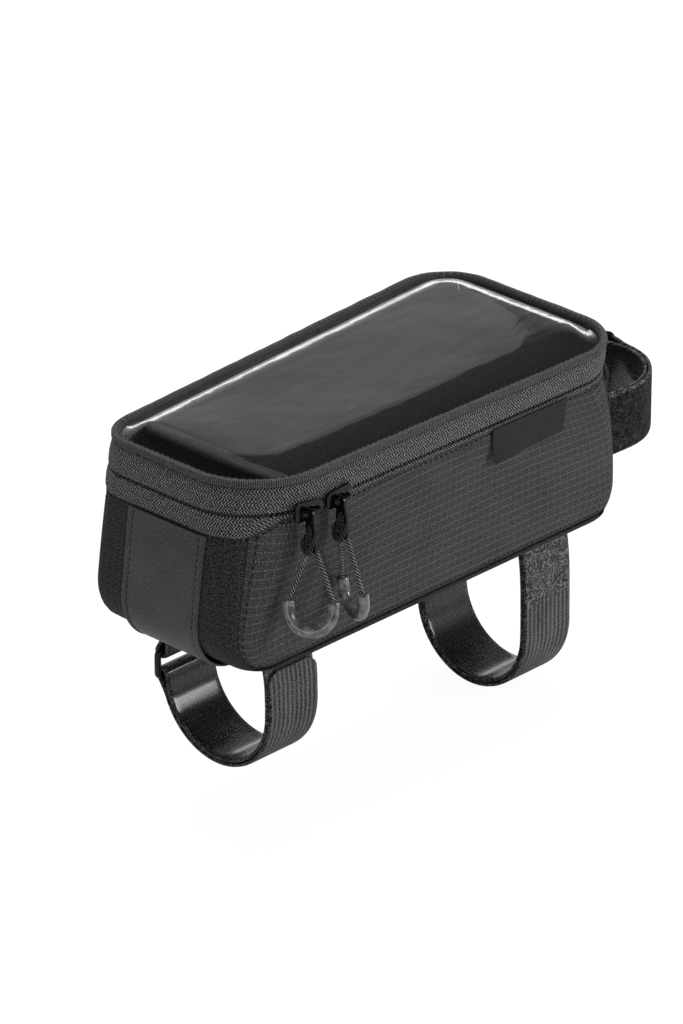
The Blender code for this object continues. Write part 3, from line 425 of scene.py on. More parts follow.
def coated(name, dark, light):
    finish = Finish(name, grey(dark, 0.03), 0.45, Specular_IOR_Level=0.18)
    vector, along, up = finish.flat()
    grain = finish.noise(vector, 0.0007, 3.0)
    cloud = finish.noise(vector, 0.03, 2.0)
    tone = finish.math("ADD", finish.spread(grain, 0.1, 0.9), finish.spread(cloud, -0.25, 0.25))
    finish.colours(tone, grey(dark, 0.03), grey(light, 0.03))
    finish.roughness(finish.spread(cloud, 0.46, 0.62))
    return finish.bump(grain, 0.00006)


def band_outside(name, dark, light):
    finish = Finish(name, grey(dark), 0.5, Sheen_Weight=0.03, Specular_IOR_Level=0.15)
    vector, along, across = finish.flat()
    ribs = finish.line(across, RIB, RIB * 0.38, 0.8)
    dashes = finish.spread(finish.wave(along, 0.0011), 0.55, 1.0)
    fluff = finish.noise(vector, 0.0006, 2.0)
    wear = finish.noise(vector, 0.009, 2.0, (0.5, 1.0, 1.0))
    tone = finish.math("MULTIPLY", finish.math("MULTIPLY", ribs, dashes), 0.55)
    tone = finish.math("ADD", tone, finish.spread(fluff, -0.22, 0.56))
    tone = finish.math("ADD", tone, finish.spread(wear, -0.1, 0.1))
    finish.colours(tone, grey(dark), grey(light))
    return finish.bump(finish.math("ADD", ribs, fluff), 0.00022)


def band_inside(name, dark, light):
    finish = Finish(name, grey(dark), 0.3, Specular_IOR_Level=0.2, Coat_Weight=0.8, Coat_Roughness=0.16)
    vector, along, across = finish.flat()
    weave = finish.math("MULTIPLY", finish.wave(along, 0.0018), finish.wave(across, 0.0015))
    patches = finish.noise(vector, 0.007, 3.0, (0.6, 1.0, 1.0))
    crumple = finish.noise(vector, 0.0012, 2.0)
    tone = finish.math("ADD", finish.math("MULTIPLY", weave, 0.3), finish.spread(patches, 0.0, 0.4))
    finish.colours(tone, grey(dark), grey(light))
    finish.roughness(finish.spread(patches, 0.18, 0.45))
    return finish.bump(finish.math("ADD", weave, finish.math("MULTIPLY", crumple, 3.0)), 0.0008)


def fluffy(name, dark, light, speck=0.0005):
    finish = Finish(name, grey(dark), 0.9, Sheen_Weight=0.06, Specular_IOR_Level=0.04)
    vector = finish.place()
    fluff = finish.noise(vector, speck, 2.0)
    tufts = finish.noise(vector, speck * 4, 2.0)
    tone = finish.math("MULTIPLY", finish.spread(fluff, -0.6, 1.5), finish.spread(tufts, 0.2, 1.1))
    finish.colours(tone, grey(dark), grey(light))
    return finish.bump(finish.math("ADD", fluff, tufts), 0.0005)


def knit(name, dark, light):
    finish = Finish(name, grey(dark), 0.9, Sheen_Weight=0.06, Specular_IOR_Level=0.04)
    vector, along, up = finish.flat()
    rows = finish.math("MULTIPLY", finish.wave(along, 0.0011), finish.wave(up, 0.0014))
    grain = finish.noise(vector, 0.0009, 2.0)
    tone = finish.math("ADD", finish.math("MULTIPLY", rows, 0.4), finish.spread(grain, 0.0, 0.6))
    finish.colours(tone, grey(dark), grey(light))
    return finish.bump(finish.math("ADD", rows, grain), 0.0002)


base_cloth = coated("coated_base", 0.026, 0.098)
strap_outside = band_outside("strap_ribs", 0.006, 0.235)
strap_inside = band_inside("strap_weave", 0.002, 0.020)
strap_edge = fluffy("strap_edge", 0.002, 0.20, 0.0006)
loop_cloth = fluffy("loop_cloth", 0.030, 0.26, 0.0007)
velour = fluffy("velour", 0.003, 0.055, 0.0007)
lining_cloth = knit("lining_cloth", 0.030, 0.085)
print("made", base_cloth.name, strap_outside.name, lining_cloth.name)

# %% [markdown]
# ### Film, metal, cord and tube
# The window is clear film, so it shows what lies under it and mirrors the studio. Light from
# the lamps has to get through it, which a transparent shader for shadow rays does. The
# sliders are cast and painted gloss black. The cord is braided from black and grey yarn,
# and a soft, milky tube is pushed over the lower half of it as a grip.

# %% Film, metal, cord and tube


def clear_film(name, tint, roughness):
    finish = Finish(name, tint, roughness, Transmission_Weight=1.0, IOR=1.49)
    rays = finish.nodes.new("ShaderNodeLightPath")
    through = finish.nodes.new("ShaderNodeBsdfTransparent")
    through.inputs["Color"].default_value = (*tint, 1.0)
    mixed = finish.nodes.new("ShaderNodeMixShader")
    finish.links.new(rays.outputs["Is Shadow Ray"], mixed.inputs["Fac"])
    finish.links.new(finish.shader.outputs[0], mixed.inputs[1])
    finish.links.new(through.outputs[0], mixed.inputs[2])
    finish.links.new(mixed.outputs[0], finish.nodes["Material Output"].inputs["Surface"])
    vector = finish.place()
    ripple = finish.noise(vector, 0.03, 1.0)
    creases = finish.noise(vector, 0.012, 2.0, (1.0, 2.2, 1.0))
    return finish.bump(finish.math("ADD", ripple, finish.math("MULTIPLY", creases, 0.35)), 0.0002)


def painted_metal(name, colour, roughness):
    finish = Finish(name, colour, roughness, Specular_IOR_Level=0.02, Coat_Weight=1.0, Coat_Roughness=0.05,
                    Coat_IOR=1.32)
    vector = finish.place()
    skin = finish.noise(vector, 0.0012, 2.0)
    wear = finish.noise(vector, 0.004, 3.0)
    finish.colours(finish.spread(wear, 0.0, 1.0), colour, grey(colour[0] * 2))
    finish.roughness(finish.spread(wear, roughness * 0.8, roughness * 1.5))
    return finish.bump(skin, 0.00004)


def braid(name, dark, light):
    finish = Finish(name, grey(dark), 0.65, Sheen_Weight=0.03, Specular_IOR_Level=0.08)
    vector, along, around = finish.flat()
    left = finish.line(finish.math("ADD", along, around), 0.0014, 0.0005, 0.6)
    right = finish.line(finish.math("SUBTRACT", along, around), 0.0014, 0.0005, 0.6)
    yarns = finish.math("MULTIPLY", finish.math("MAXIMUM", left, finish.math("MULTIPLY", right, 0.2)),
                        finish.spread(finish.noise(vector, 0.0012, 1.0), 0.4, 1.0))
    finish.colours(yarns, grey(dark), grey(light))
    return finish.bump(finish.math("MAXIMUM", left, right), 0.0002)


def milky_tube(name):
    finish = Finish(name, (0.10, 0.11, 0.12), 0.2, Transmission_Weight=0.45, IOR=1.45, Coat_Weight=1.0,
                    Coat_Roughness=0.06)
    cloud = finish.noise(finish.place(), 0.004, 2.0)
    finish.colours(finish.spread(cloud, -0.3, 1.2), (0.032, 0.036, 0.041), (0.27, 0.28, 0.295))
    finish.roughness(finish.spread(cloud, 0.14, 0.24))
    return finish.bump(cloud, 0.00002)


def thread(name, dark, light):
    finish = Finish(name, grey(dark), 0.6, Specular_IOR_Level=0.1)
    twist = finish.noise(finish.place(), 0.0004, 1.0)
    finish.colours(twist, grey(dark), grey(light))
    return finish.bump(twist, 0.00005)


film = clear_film("clear_film", (0.93, 0.94, 0.95), 0.035)
metal = painted_metal("slider_metal", grey(0.002), 0.14)
wire_metal = painted_metal("ring_metal", grey(0.005), 0.24)
coil_plastic = painted_metal("zip_coil", grey(0.016), 0.30)
board_sheet = painted_metal("floor_board", grey(0.012), 0.5)
cord_braid = braid("pull_cord", 0.003, 0.42)
# Painted shade: a darker copy of the same cord, for the hitch against the tab
shaded_braid = braid("pull_cord_shaded", 0.002, 0.11)
tube_plastic = milky_tube("pull_tube")
black_thread = thread("black_thread", 0.001, 0.008)
grey_thread = thread("grey_thread", 0.02, 0.10)
pocket_cloth = twill("pocket_cloth", 0.008, 0.040, 0.0007)
label_cloth = ribbed("label_cloth", 0.012, 0.075, 0.0006)
print("made", film.name, metal.name, tube_plastic.name)

# %% [markdown]
# ## The shape of the bag
# From above, the bag is a box with four rounded corners that widens to the front. The walls
# lean outwards a little, and the corners open up towards the zip. The outline is the same
# rule as in the solid model, so the cloth always lies where its solid is. A station is a
# place along the outline: even spans are straight walls and odd spans are corners.

# %% Sizes shared with the solid model
GAP = 0.0003
FLOOR_REAR_X, FLOOR_FRONT_X = -0.103, 0.104
FLOOR_HALF_WIDTHS = (0.039, 0.0405)
ZIP_HEIGHT = 0.064
ZIP_REAR_X, ZIP_FRONT_X = -0.095, 0.1015
ZIP_HALF_WIDTHS = (0.041, 0.048)
LID_REAR_X, LID_FRONT_X = -0.0915, 0.102
LID_HALF_WIDTHS = (0.0405, 0.0500)
LID_HEIGHT = 0.0132
REAR_ROUNDING, FRONT_ROUNDING, EDGE_ROUNDING = 0.022, 0.013, 0.003
FLOOR_RADII = (0.010, 0.005, 0.005, 0.010)
ZIP_RADII = (0.032, 0.024, 0.022, 0.016)
RADIUS_GROWTH = (1.4, 2.2, 2.2, 1.4)
SHELL = 0.0012
LINING = 0.0022
BOARD = 0.0015
RISE = 0.015
FLOOR_ABOVE_BASE = 0.0031
CORNERS = 4


def mix(start, end, share):
    return start + (end - start) * share


def ease(value, low, high):
    share = min(max((value - low) / (high - low), 0.0), 1.0)
    return share * share * (3 - 2 * share)


def outline_sizes(height):
    if height <= ZIP_HEIGHT:
        share = max(height, 0.0) / ZIP_HEIGHT
        radii = [mix(low, high, share ** growth)
                 for low, high, growth in zip(FLOOR_RADII, ZIP_RADII, RADIUS_GROWTH)]
        return (mix(FLOOR_REAR_X, ZIP_REAR_X, share), mix(FLOOR_FRONT_X, ZIP_FRONT_X, share),
                mix(FLOOR_HALF_WIDTHS[0], ZIP_HALF_WIDTHS[0], share),
                mix(FLOOR_HALF_WIDTHS[1], ZIP_HALF_WIDTHS[1], share), radii)
    share = (height - ZIP_HEIGHT) / LID_HEIGHT
    return (mix(ZIP_REAR_X, LID_REAR_X, share), mix(ZIP_FRONT_X, LID_FRONT_X, share),
            mix(ZIP_HALF_WIDTHS[0], LID_HALF_WIDTHS[0], share),
            mix(ZIP_HALF_WIDTHS[1], LID_HALF_WIDTHS[1], share), list(ZIP_RADII))


def rounding(height, radius, inset):
    left, drop = radius - inset, radius - height
    if left <= 0 or drop <= 0:
        return 0.0
    return left - math.sqrt(max(left * left - drop * drop, 0.0))


class Outline:
    """The bag's outline in plan at one height, drawn in by an inset."""

    def __init__(self, height, inset):
        rear, front, rear_half, front_half, radii = outline_sizes(height)
        edge = rounding(height, EDGE_ROUNDING, inset)
        lean = math.atan2(front_half - rear_half, front - rear)
        side_reach = rear_half * math.cos(lean) - rear * math.sin(lean) - inset - edge
        walls = [(-math.sin(lean), -math.cos(lean), side_reach),
                 (1.0, 0.0, front - inset - rounding(height, FRONT_ROUNDING, inset)),
                 (-math.sin(lean), math.cos(lean), side_reach),
                 (-1.0, 0.0, -rear - inset - rounding(height, REAR_ROUNDING, inset))]
        self.arcs = []
        for index, corner in enumerate((1, 2, 3, 0)):
            radius = max(radii[corner] - inset, 0.0006)
            first, second = walls[index], walls[(index + 1) % CORNERS]
            reach_1, reach_2 = first[2] - radius, second[2] - radius
            cross = first[0] * second[1] - first[1] * second[0]
            start = math.atan2(first[1], first[0])
            turn = (math.atan2(second[1], second[0]) - start) % (2 * math.pi)
            self.arcs.append(((reach_1 * second[1] - reach_2 * first[1]) / cross,
                              (first[0] * reach_2 - second[0] * reach_1) / cross, radius, start, turn))

    def on_arc(self, index, share):
        centre_x, centre_y, radius, start, turn = self.arcs[index]
        angle = start + turn * share
        return centre_x + radius * math.cos(angle), centre_y + radius * math.sin(angle)

    def point(self, station):
        station %= 2 * CORNERS
        index, share = int(station) // 2, station - int(station)
        if int(station) % 2:
            return self.on_arc(index, share)
        start, end = self.on_arc(index - 1, 1.0), self.on_arc(index, 0.0)
        return mix(start[0], end[0], share), mix(start[1], end[1], share)


OUTLINES = {}


def plan_point(station, height, inset):
    key = (round(height, 7), round(inset, 6))
    if key not in OUTLINES:
        OUTLINES[key] = Outline(*key)
    return OUTLINES[key].point(station)


def lifted(x, y, height):
    """The bag rises a little to the front, so heights grow with x up to the zip."""
    rise = RISE * x * min(max(height, 0.0) / ZIP_HEIGHT, 1.0)
    return Vector((x, y, height + rise + FLOOR_ABOVE_BASE))


def skin(station, height, inset=0.0):
    return lifted(*plan_point(station, height, inset), height)


print("rear corner at the zip:", [round(value, 4) for value in skin(7.5, ZIP_HEIGHT)])

# %% [markdown]
# ## Building cloth
# Every cloth piece is a wall between two grids of points, an outer and an inner one. Rows run
# up the cloth and columns along it. The builder below closes the edges, marks the sharp ones
# and writes the flat map, so one function serves panels, tapes, straps and film.

# %% Mesh helpers
SHARP = math.radians(48)


def add_mesh(name, points, faces, flats=None, material=None):
    """A smooth mesh. Each face is a tuple of point numbers, with a flat place for each."""
    mesh = bpy.data.meshes.new(name)
    used = sorted({index for face in faces for index in face})
    place = {index: position for position, index in enumerate(used)}
    mesh.from_pydata([tuple(points[index]) for index in used], [],
                     [tuple(place[index] for index in face) for face in faces])
    if flats:
        layer = mesh.uv_layers.new(name=MAP_NAME)
        values = [value for flat in flats for pair in flat for value in pair]
        layer.data.foreach_set("uv", values)
    mesh.polygons.foreach_set("use_smooth", [True] * len(mesh.polygons))
    mesh.update()
    mesh.set_sharp_from_angle(angle=SHARP)
    if material:
        mesh.materials.append(material)
    made = bpy.data.objects.new(name, mesh)
    bpy.context.scene.collection.objects.link(made)
    return made


def volume_of(mesh):
    total = 0.0
    for face in mesh.polygons:
        corners = [mesh.vertices[index].co for index in face.vertices]
        for second, third in zip(corners[1:], corners[2:]):
            total += corners[0].dot(second.cross(third))
    return total / 6


def outward(target):
    if volume_of(target.data) < 0:
        target.data.flip_normals()
    return target


def way_along(points):
    ways = [0.0]
    for first, second in zip(points, points[1:]):
        ways.append(ways[-1] + (Vector(second) - Vector(first)).length)
    return ways


def cloth(name, outer, inner, material, kept=None, closed=False, cap=False):
    """A wall of cloth from an outer and an inner grid, each rows of columns of points."""
    rows, columns = len(outer), len(outer[0])
    middle = outer[rows // 2]
    along = way_along(middle + middle[:1] if closed else middle)
    up = [way_along([line[column] for line in outer]) for column in range(columns)]
    faces, flats = [], []
    for row in range(rows - 1):
        for column in range(columns if closed else columns - 1):
            if kept is None or kept(row, column):
                after = (column + 1) % columns
                low, high = row * columns, (row + 1) * columns
                faces.append((low + column, low + after, high + after, high + column))
                flats.append(((along[column], up[column][row]), (along[column + 1], up[after][row]),
                              (along[column + 1], up[after][row + 1]), (along[column], up[column][row + 1])))
    if cap:
        faces.append(tuple(reversed(range(columns))))
        flats.append(tuple((outer[0][column].x, outer[0][column].y) for column in reversed(range(columns))))
    edges = {}
    for face, flat in zip(faces, flats):
        for place in range(len(face)):
            after = (place + 1) % len(face)
            edges[(face[place], face[after])] = (flat[place], flat[after])
    shift = rows * columns
    walls = [tuple(index + shift for index in reversed(face)) for face in faces]
    wall_flats = [tuple(reversed(flat)) for flat in flats]
    for (start, end), (flat_start, flat_end) in edges.items():
        if (end, start) not in edges:
            walls.append((end, start, start + shift, end + shift))
            wall_flats.append((flat_end, flat_start, flat_start, flat_end))
    points = [point for grid in (outer, inner) for line in grid for point in line]
    return outward(add_mesh(name, points, faces + walls, flats + wall_flats, material))


def face_pair(rows, stations, rule):
    """The outer and inner grid of a wall. The rule gives both points at a row and a station."""
    grids = [], []
    for row in range(rows + 1):
        pairs = [rule(row, column, station) for column, station in enumerate(stations)]
        for grid, line in zip(grids, zip(*pairs)):
            grid.append(list(line))
    return grids


def tube(name, rings, material, closed=False):
    """A solid through rings of points, with its flat map along it and round it."""
    sides, count = len(rings[0]), len(rings)
    middles = [sum((Vector(point) for point in ring), Vector()) / sides for ring in rings]
    along = way_along(middles + middles[:1])
    first = [Vector(point) for point in rings[0]]
    around = way_along(first + first[:1])
    faces, flats = [], []
    for step in range(count if closed else count - 1):
        here, there = step * sides, ((step + 1) % count) * sides
        for side in range(sides):
            after = (side + 1) % sides
            faces.append((here + side, here + after, there + after, there + side))
            flats.append(((along[step], around[side]), (along[step], around[side + 1]),
                          (along[step + 1], around[side + 1]), (along[step + 1], around[side])))
    if not closed:
        for ring in (tuple(reversed(range(sides))), tuple(range((count - 1) * sides, count * sides))):
            faces.append(ring)
            flats.append(tuple((0.0, around[index % sides]) for index in ring))
    points = [point for ring in rings for point in ring]
    return outward(add_mesh(name, points, faces, flats, material))


def wire(path, radius, sides, closed=False):
    """Rings round a path, kept from twisting. The radius may be a number or a rule."""
    count = len(path)
    tangents = []
    for step in range(count):
        before = path[step - 1] if closed or step else path[0]
        after = path[(step + 1) % count] if closed or step < count - 1 else path[-1]
        tangents.append((after - before).normalized())
    across = tangents[0].orthogonal().normalized()
    rings = []
    for step, (point, tangent) in enumerate(zip(path, tangents)):
        across = (across - tangent * across.dot(tangent)).normalized()
        up = tangent.cross(across)
        size = radius(step / max(count - 1, 1)) if callable(radius) else radius
        rings.append([point + across * (size * math.cos(turn)) + up * (size * math.sin(turn))
                      for turn in (2 * math.pi * side / sides for side in range(sides))])
    return rings


def smooth_path(points, per_span, closed=False):
    count = len(points)
    spans = count if closed else count - 1
    line = []
    for span in range(spans):
        p1, p2 = points[span], points[(span + 1) % count]
        p0 = points[span - 1] if closed or span else p1
        p3 = points[(span + 2) % count] if closed or span < spans - 1 else p2
        for step in range(per_span):
            t = step / per_span
            line.append(0.5 * ((2 * p1) + (p2 - p0) * t + (2 * p0 - 5 * p1 + 4 * p2 - p3) * t * t
                               + (3 * p1 - p0 - 3 * p2 + p3) * t * t * t))
    if not closed:
        line.append(points[-1])
    return line


def seat(piece, body, slot_name, *replaced):
    """Puts a finished piece on its body and hides the solids that it stands for."""
    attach(piece, body)
    if replaced:
        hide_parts(*replaced)
    print(piece.name, len(piece.data.polygons), "faces")
    return piece


def swell(point, size, seed, amount):
    """A slow, repeatable unevenness, as hand-sewn cloth has."""
    return amount * noise.noise(Vector(point) / size + Vector((seed, seed * 1.7, seed * 0.3)))


# %% [markdown]
# ## Side panels
# The two long sides are ripstop over thin foam. A seam pulls the cloth in at its edges and
# the foam pushes it out between them, so a panel is a shallow cushion with soft, slanting
# folds near its corners. The wall is built as a fine grid along the bag's outline.

# %% Stations and cloth settings
SIDE_STEPS, CORNER_STEPS = 64, 16
NEAR_START, NEAR_END = -0.5, 1.5
FAR_START, FAR_END = 3.5, 5.5
REAR_TAPE_DROP, SIDE_TAPE_DROP = 0.0083, 0.0020
ZIP_END = 1 + 4 / 6


def stations_between(start, end, side_steps=SIDE_STEPS, corner_steps=CORNER_STEPS):
    found = [start]
    place = math.floor(start + 1e-9)
    while place < end:
        steps = corner_steps if place % 2 else side_steps
        found += [place + step / steps for step in range(steps)
                  if start + 0.01 < place + step / steps < end - 0.01]
        place += 1
    return found + [end]


def tape_drop(station):
    x, _ = plan_point(station, ZIP_HEIGHT, 0.0)
    return mix(REAR_TAPE_DROP, SIDE_TAPE_DROP, ease(x, -0.0895, -0.0745))


def in_zip(station):
    return not ZIP_END + 0.001 < station % 8 < 5 - ZIP_END - 0.001


def cloth_top(station):
    return ZIP_HEIGHT - (tape_drop(station) if in_zip(station) else 0.0) - GAP


def seam_step(start, end, station):
    """Keeps the ends of a wall half a seam's gap inside its span."""
    step = 0.006
    return min(max(station, start + step), end - step)


# %% Side panels
PANEL_ROWS = 30


def panel_offset(point, to_seam, to_floor, to_top, seed):
    """How far the panel's face stands out of the plain wall, in metres."""
    nearest = min(to_seam, to_floor, to_top * 1.6)
    pulled = -0.00075 * math.exp(-nearest / 0.0045) - 0.00035 * math.exp(-nearest / 0.0012)
    foam = 0.00040 * (1 - math.exp(-nearest / 0.014))
    reach = 1 - math.exp(-nearest / 0.006)
    slow = swell(point, 0.034, seed, 0.00042) + swell(point, 0.013, seed + 3, 0.00016)
    slanted = Vector((point.x + 0.8 * point.z, point.y, 0.25 * point.z))
    fold = swell(slanted, 0.010, seed + 7, 0.00022) * math.exp(-to_seam / 0.030)
    return pulled + foam + (slow + fold) * reach


def make_panel(name, start, end, seed):
    stations = [seam_step(start, end, station) for station in stations_between(start, end)]
    lowest = EDGE_ROUNDING + GAP
    lengths = way_along([skin(station, 0.03) for station in stations])

    def pair(row, column, station):
        share = row / PANEL_ROWS
        top = cloth_top(station)
        height = mix(lowest, top, 0.5 * share + 0.5 * ease(share, 0, 1))
        to_seam = min(lengths[column], lengths[-1] - lengths[column])
        offset = panel_offset(skin(station, height), to_seam, height - lowest, top - height, seed)
        return skin(station, height, -offset), skin(station, height, SHELL)

    return cloth(name, *face_pair(PANEL_ROWS, stations, pair), side_cloth)


SIDES = (("near", NEAR_START, NEAR_END, 1.0), ("far", FAR_START, FAR_END, 5.0))
for side, start, end, seed in SIDES:
    panel = make_panel(side + "_side", start, end, seed)
    seat(panel, "bag", "side_panel_" + side + "_ripstop_cloth", "side_panel_" + side)

# %% [markdown]
# ## Gusset
# One long strip makes the rear end, the floor and the front end. Its ends are soft too: they
# bow out a little under the zip and are pulled in along the seams. The floor's round lower
# corners are part of the same wall.

# %% Gusset
REAR_START, REAR_END = 5.5, 7.5
FRONT_START, FRONT_END = 1.5, 3.5
END_COLUMNS, FLOOR_COLUMNS = 24, 12
BEND_ROWS, UPPER_ROWS = 7, 18


def end_heights(top, rows, rounding_height):
    """Heights that follow the round lower edge first and then run straight up."""
    bend = [rounding_height * (1 - math.cos(math.pi / 2 * step / BEND_ROWS))
            for step in range(BEND_ROWS + 1)]
    bend[0] = 0.0
    upper = [mix(bend[-1], top, (step + 1) / rows) for step in range(rows)]
    return bend + upper


def gusset_offset(point, to_seam, to_top, seed):
    nearest = min(to_seam, to_top * 1.6)
    pulled = -0.00065 * math.exp(-nearest / 0.0035) - 0.00035 * math.exp(-nearest / 0.0012)
    reach = 1 - math.exp(-nearest / 0.005)
    return pulled + reach * swell(point, 0.025, seed, 0.00030)


def make_gusset():
    spans = ((FRONT_START, FRONT_END, END_COLUMNS), (FAR_START, FAR_END, FLOOR_COLUMNS),
             (REAR_START, REAR_END, END_COLUMNS), (NEAR_START, NEAR_END, FLOOR_COLUMNS))
    stations, in_end = [], []
    for start, end, steps in spans:
        found = [seam_step(start, end, station) for station in stations_between(start, end, steps, 10)]
        stations += found
        in_end += [steps == END_COLUMNS] * (len(found) - 1) + [False]

    def pair(row, column, station):
        top = cloth_top(station)
        rear = REAR_START <= station % 8 <= REAR_END
        height = end_heights(top, UPPER_ROWS, EDGE_ROUNDING)[row]
        span = (REAR_START, REAR_END) if rear else (FRONT_START, FRONT_END)
        to_seam = 0.045 * min(abs(station % 8 - span[0]), abs(span[1] - station % 8))
        point = skin(station, height)
        offset = gusset_offset(point, to_seam, top - height, 9.0) if height > 0.004 else 0.0
        height_in = max(height, SHELL) if row <= BEND_ROWS else height
        return skin(station, height, -offset), skin(station, height_in, SHELL)

    return cloth("end_and_floor", *face_pair(BEND_ROWS + UPPER_ROWS, stations, pair), end_cloth,
                 lambda row, column: row < BEND_ROWS or in_end[column], True, True)


seat(make_gusset(), "bag", "gusset_twill_cloth", "gusset")

# %% [markdown]
# ## Lining and floor board
# Inside, a padded lining stands as an open tub, with a stiff board under it. They show only
# when the lid is open, but they are still cloth, so the lining is puffed between its seams.

# %% Lining and board


def make_lining():
    stations = [station for station in stations_between(0, 8, 26, 10)[:-1]]
    inset = SHELL + GAP
    lowest = SHELL + BOARD + 2 * GAP
    top = ZIP_HEIGHT - 0.0062
    heights = [lowest] + [mix(0.0065, top, step / 16) for step in range(17)]
    inner_heights = [lowest + LINING, 0.0080] + heights[2:]
    outer = [[skin(station, height, inset) for station in stations] for height in heights]
    inner = []
    for height in inner_heights:
        line = []
        for station in stations:
            point = skin(station, height, inset + LINING)
            edge = min(height - lowest, top - height)
            puff = 0.0005 * (1 - math.exp(-max(edge, 0.0) / 0.006)) + swell(point, 0.02, 13.0, 0.0005)
            line.append(skin(station, height, inset + LINING + max(puff, -0.0004) * (edge > 0.001)))
        inner.append(line)
    return cloth("lining", outer, inner, lining_cloth, None, True, True)


lining = seat(make_lining(), "bag", "padded_lining_lining_cloth", "padded_lining")
frame["nodes"]["floor_board"].data.materials[0] = board_sheet

# %% [markdown]
# The lid turns on a fold of cloth across the front end. On the real bag a strip of tape inside the fold
# joins the lid to the gusset, so here a strip of tape stands between the two.

# %% Fold of the lid
FOLD_REACH = 0.0055
FOLD_TAPE = 0.0008


def make_fold():
    stations = stations_between(2, 3, 20, 8)
    heights = [mix(ZIP_HEIGHT - FOLD_REACH, ZIP_HEIGHT + FOLD_REACH, step / 12) for step in range(13)]
    outer = [[skin(station, height, SHELL + GAP) for station in stations] for height in heights]
    inner = [[skin(station, height, SHELL + GAP + FOLD_TAPE) for station in stations] for height in heights]
    return cloth("lid_fold", outer, inner, edge_tape)


fold = make_fold()
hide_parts("hinge_tape")
hinge = Vector(next(joint for joint in frame["joints"] if joint["name"] == "lid_hinge")["pos_m"])
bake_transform(fold)
print("lid turns at", [round(value, 4) for value in hinge])

# %% [markdown]
# ## Zip
# A zip is two strips of herringbone tape with a coil of nylon sewn along each. Only a thin
# slot shows between the tapes, with the coil's teeth in it. The lower tape is a wide band on
# the rear end and almost vanishes under the long sides, while the upper one makes the lid's
# whole side.

# %% Zip tapes
TAPE = 0.0010
SLOT_HALF = 0.0007
BEAD_HEIGHT, BEAD_WIDTH, BEAD_STANDS_OUT = 0.0032, 0.0036, 0.0007
LID_BAND_TOP = ZIP_HEIGHT + LID_HEIGHT - BEAD_HEIGHT - GAP


def make_tape(name, low_at, high_at, rows, start, end, material, seed, bow):
    stations = [seam_step(start, end, station) for station in stations_between(start, end, 48, 16)]

    def pair(row, column, station):
        low, high = low_at(station), high_at(station)
        height = mix(low, high, row / rows)
        edge = min(height - low, high - height)
        middle = math.sin(math.pi * row / rows) if high - low > 0.004 else 0.0
        offset = bow * middle + swell(skin(station, height), 0.016, seed, 0.00022) * middle
        offset -= 0.00025 * math.exp(-edge / 0.0006)
        return skin(station, height, -offset), skin(station, height, TAPE)

    return cloth(name, *face_pair(rows, stations, pair), material)


zip_span = (5 - ZIP_END, 8 + ZIP_END)
tape_below = make_tape("tape_below", lambda station: ZIP_HEIGHT - tape_drop(station),
                       lambda station: ZIP_HEIGHT - SLOT_HALF, 8, *zip_span, tape_cloth, 17.0, 0.00015)
tape_above = make_tape("tape_above", lambda station: ZIP_HEIGHT + SLOT_HALF,
                       lambda station: LID_BAND_TOP, 12, *zip_span, tape_cloth, 21.0, 0.00045)
lid_front = make_tape("lid_front", lambda station: ZIP_HEIGHT + GAP, lambda station: LID_BAND_TOP,
                      10, ZIP_END, 5 - ZIP_END, end_cloth, 23.0, 0.0003)
seat(tape_below, "bag", "lower_zip_tape_zip_tape", "lower_zip_tape")
seat(tape_above, "lid", "upper_zip_tape_zip_tape", "upper_zip_tape")
seat(lid_front, "lid", "lid_front_wall_twill_cloth", "lid_front_wall")

# %% [markdown]
# ### Things that repeat
# Coil teeth and stitches are one small shape many times along a path, which is what Geometry
# Nodes do best: a path becomes a curve, the curve becomes evenly spaced points, and each point
# gets a rounded grain. The grain's size is along the path, level across it, and upright.

# %% A tree that sets grains along a path


def grain_tree():
    tree = bpy.data.node_groups.new("grains_on_path", "GeometryNodeTree")
    tree.interface.new_socket("Geometry", in_out="INPUT", socket_type="NodeSocketGeometry")
    for label, kind in (("Spacing", "Float"), ("Size", "Vector"), ("Turn", "Float"), ("Finish", "Material")):
        tree.interface.new_socket(label, in_out="INPUT", socket_type="NodeSocket" + kind)
    tree.interface.new_socket("Geometry", in_out="OUTPUT", socket_type="NodeSocketGeometry")

    def add(kind, **settings):
        node = tree.nodes.new(kind)
        for key, value in settings.items():
            setattr(node, key, value)
        return node

    start, end = add("NodeGroupInput"), add("NodeGroupOutput")
    curve = add("GeometryNodeMeshToCurve")
    upright = add("GeometryNodeSetCurveNormal", mode="Z_UP")
    points = add("GeometryNodeCurveToPoints", mode="LENGTH")
    grain = add("GeometryNodeMeshIcoSphere")
    grain.inputs["Radius"].default_value = 0.5
    grain.inputs["Subdivisions"].default_value = 2
    smooth = add("GeometryNodeSetShadeSmooth")
    place = add("GeometryNodeInstanceOnPoints")
    turn = add("GeometryNodeRotateInstances")
    turn_vector = add("ShaderNodeCombineXYZ")
    real = add("GeometryNodeRealizeInstances")
    paint = add("GeometryNodeSetMaterial")
    link = tree.links.new
    link(start.outputs["Geometry"], curve.inputs[0])
    link(curve.outputs[0], upright.inputs["Curve"])
    link(upright.outputs[0], points.inputs["Curve"])
    link(start.outputs["Spacing"], points.inputs["Length"])
    link(grain.outputs["Mesh"], smooth.inputs[0])
    link(points.outputs["Points"], place.inputs["Points"])
    link(smooth.outputs[0], place.inputs["Instance"])
    link(points.outputs["Rotation"], place.inputs["Rotation"])
    link(start.outputs["Size"], place.inputs["Scale"])
    link(place.outputs[0], turn.inputs["Instances"])
    link(start.outputs["Turn"], turn_vector.inputs["X"])
    link(turn_vector.outputs[0], turn.inputs["Rotation"])
    link(turn.outputs[0], real.inputs[0])
    link(real.outputs[0], paint.inputs["Geometry"])
    link(start.outputs["Finish"], paint.inputs["Material"])
    link(paint.outputs[0], end.inputs[0])
    return tree


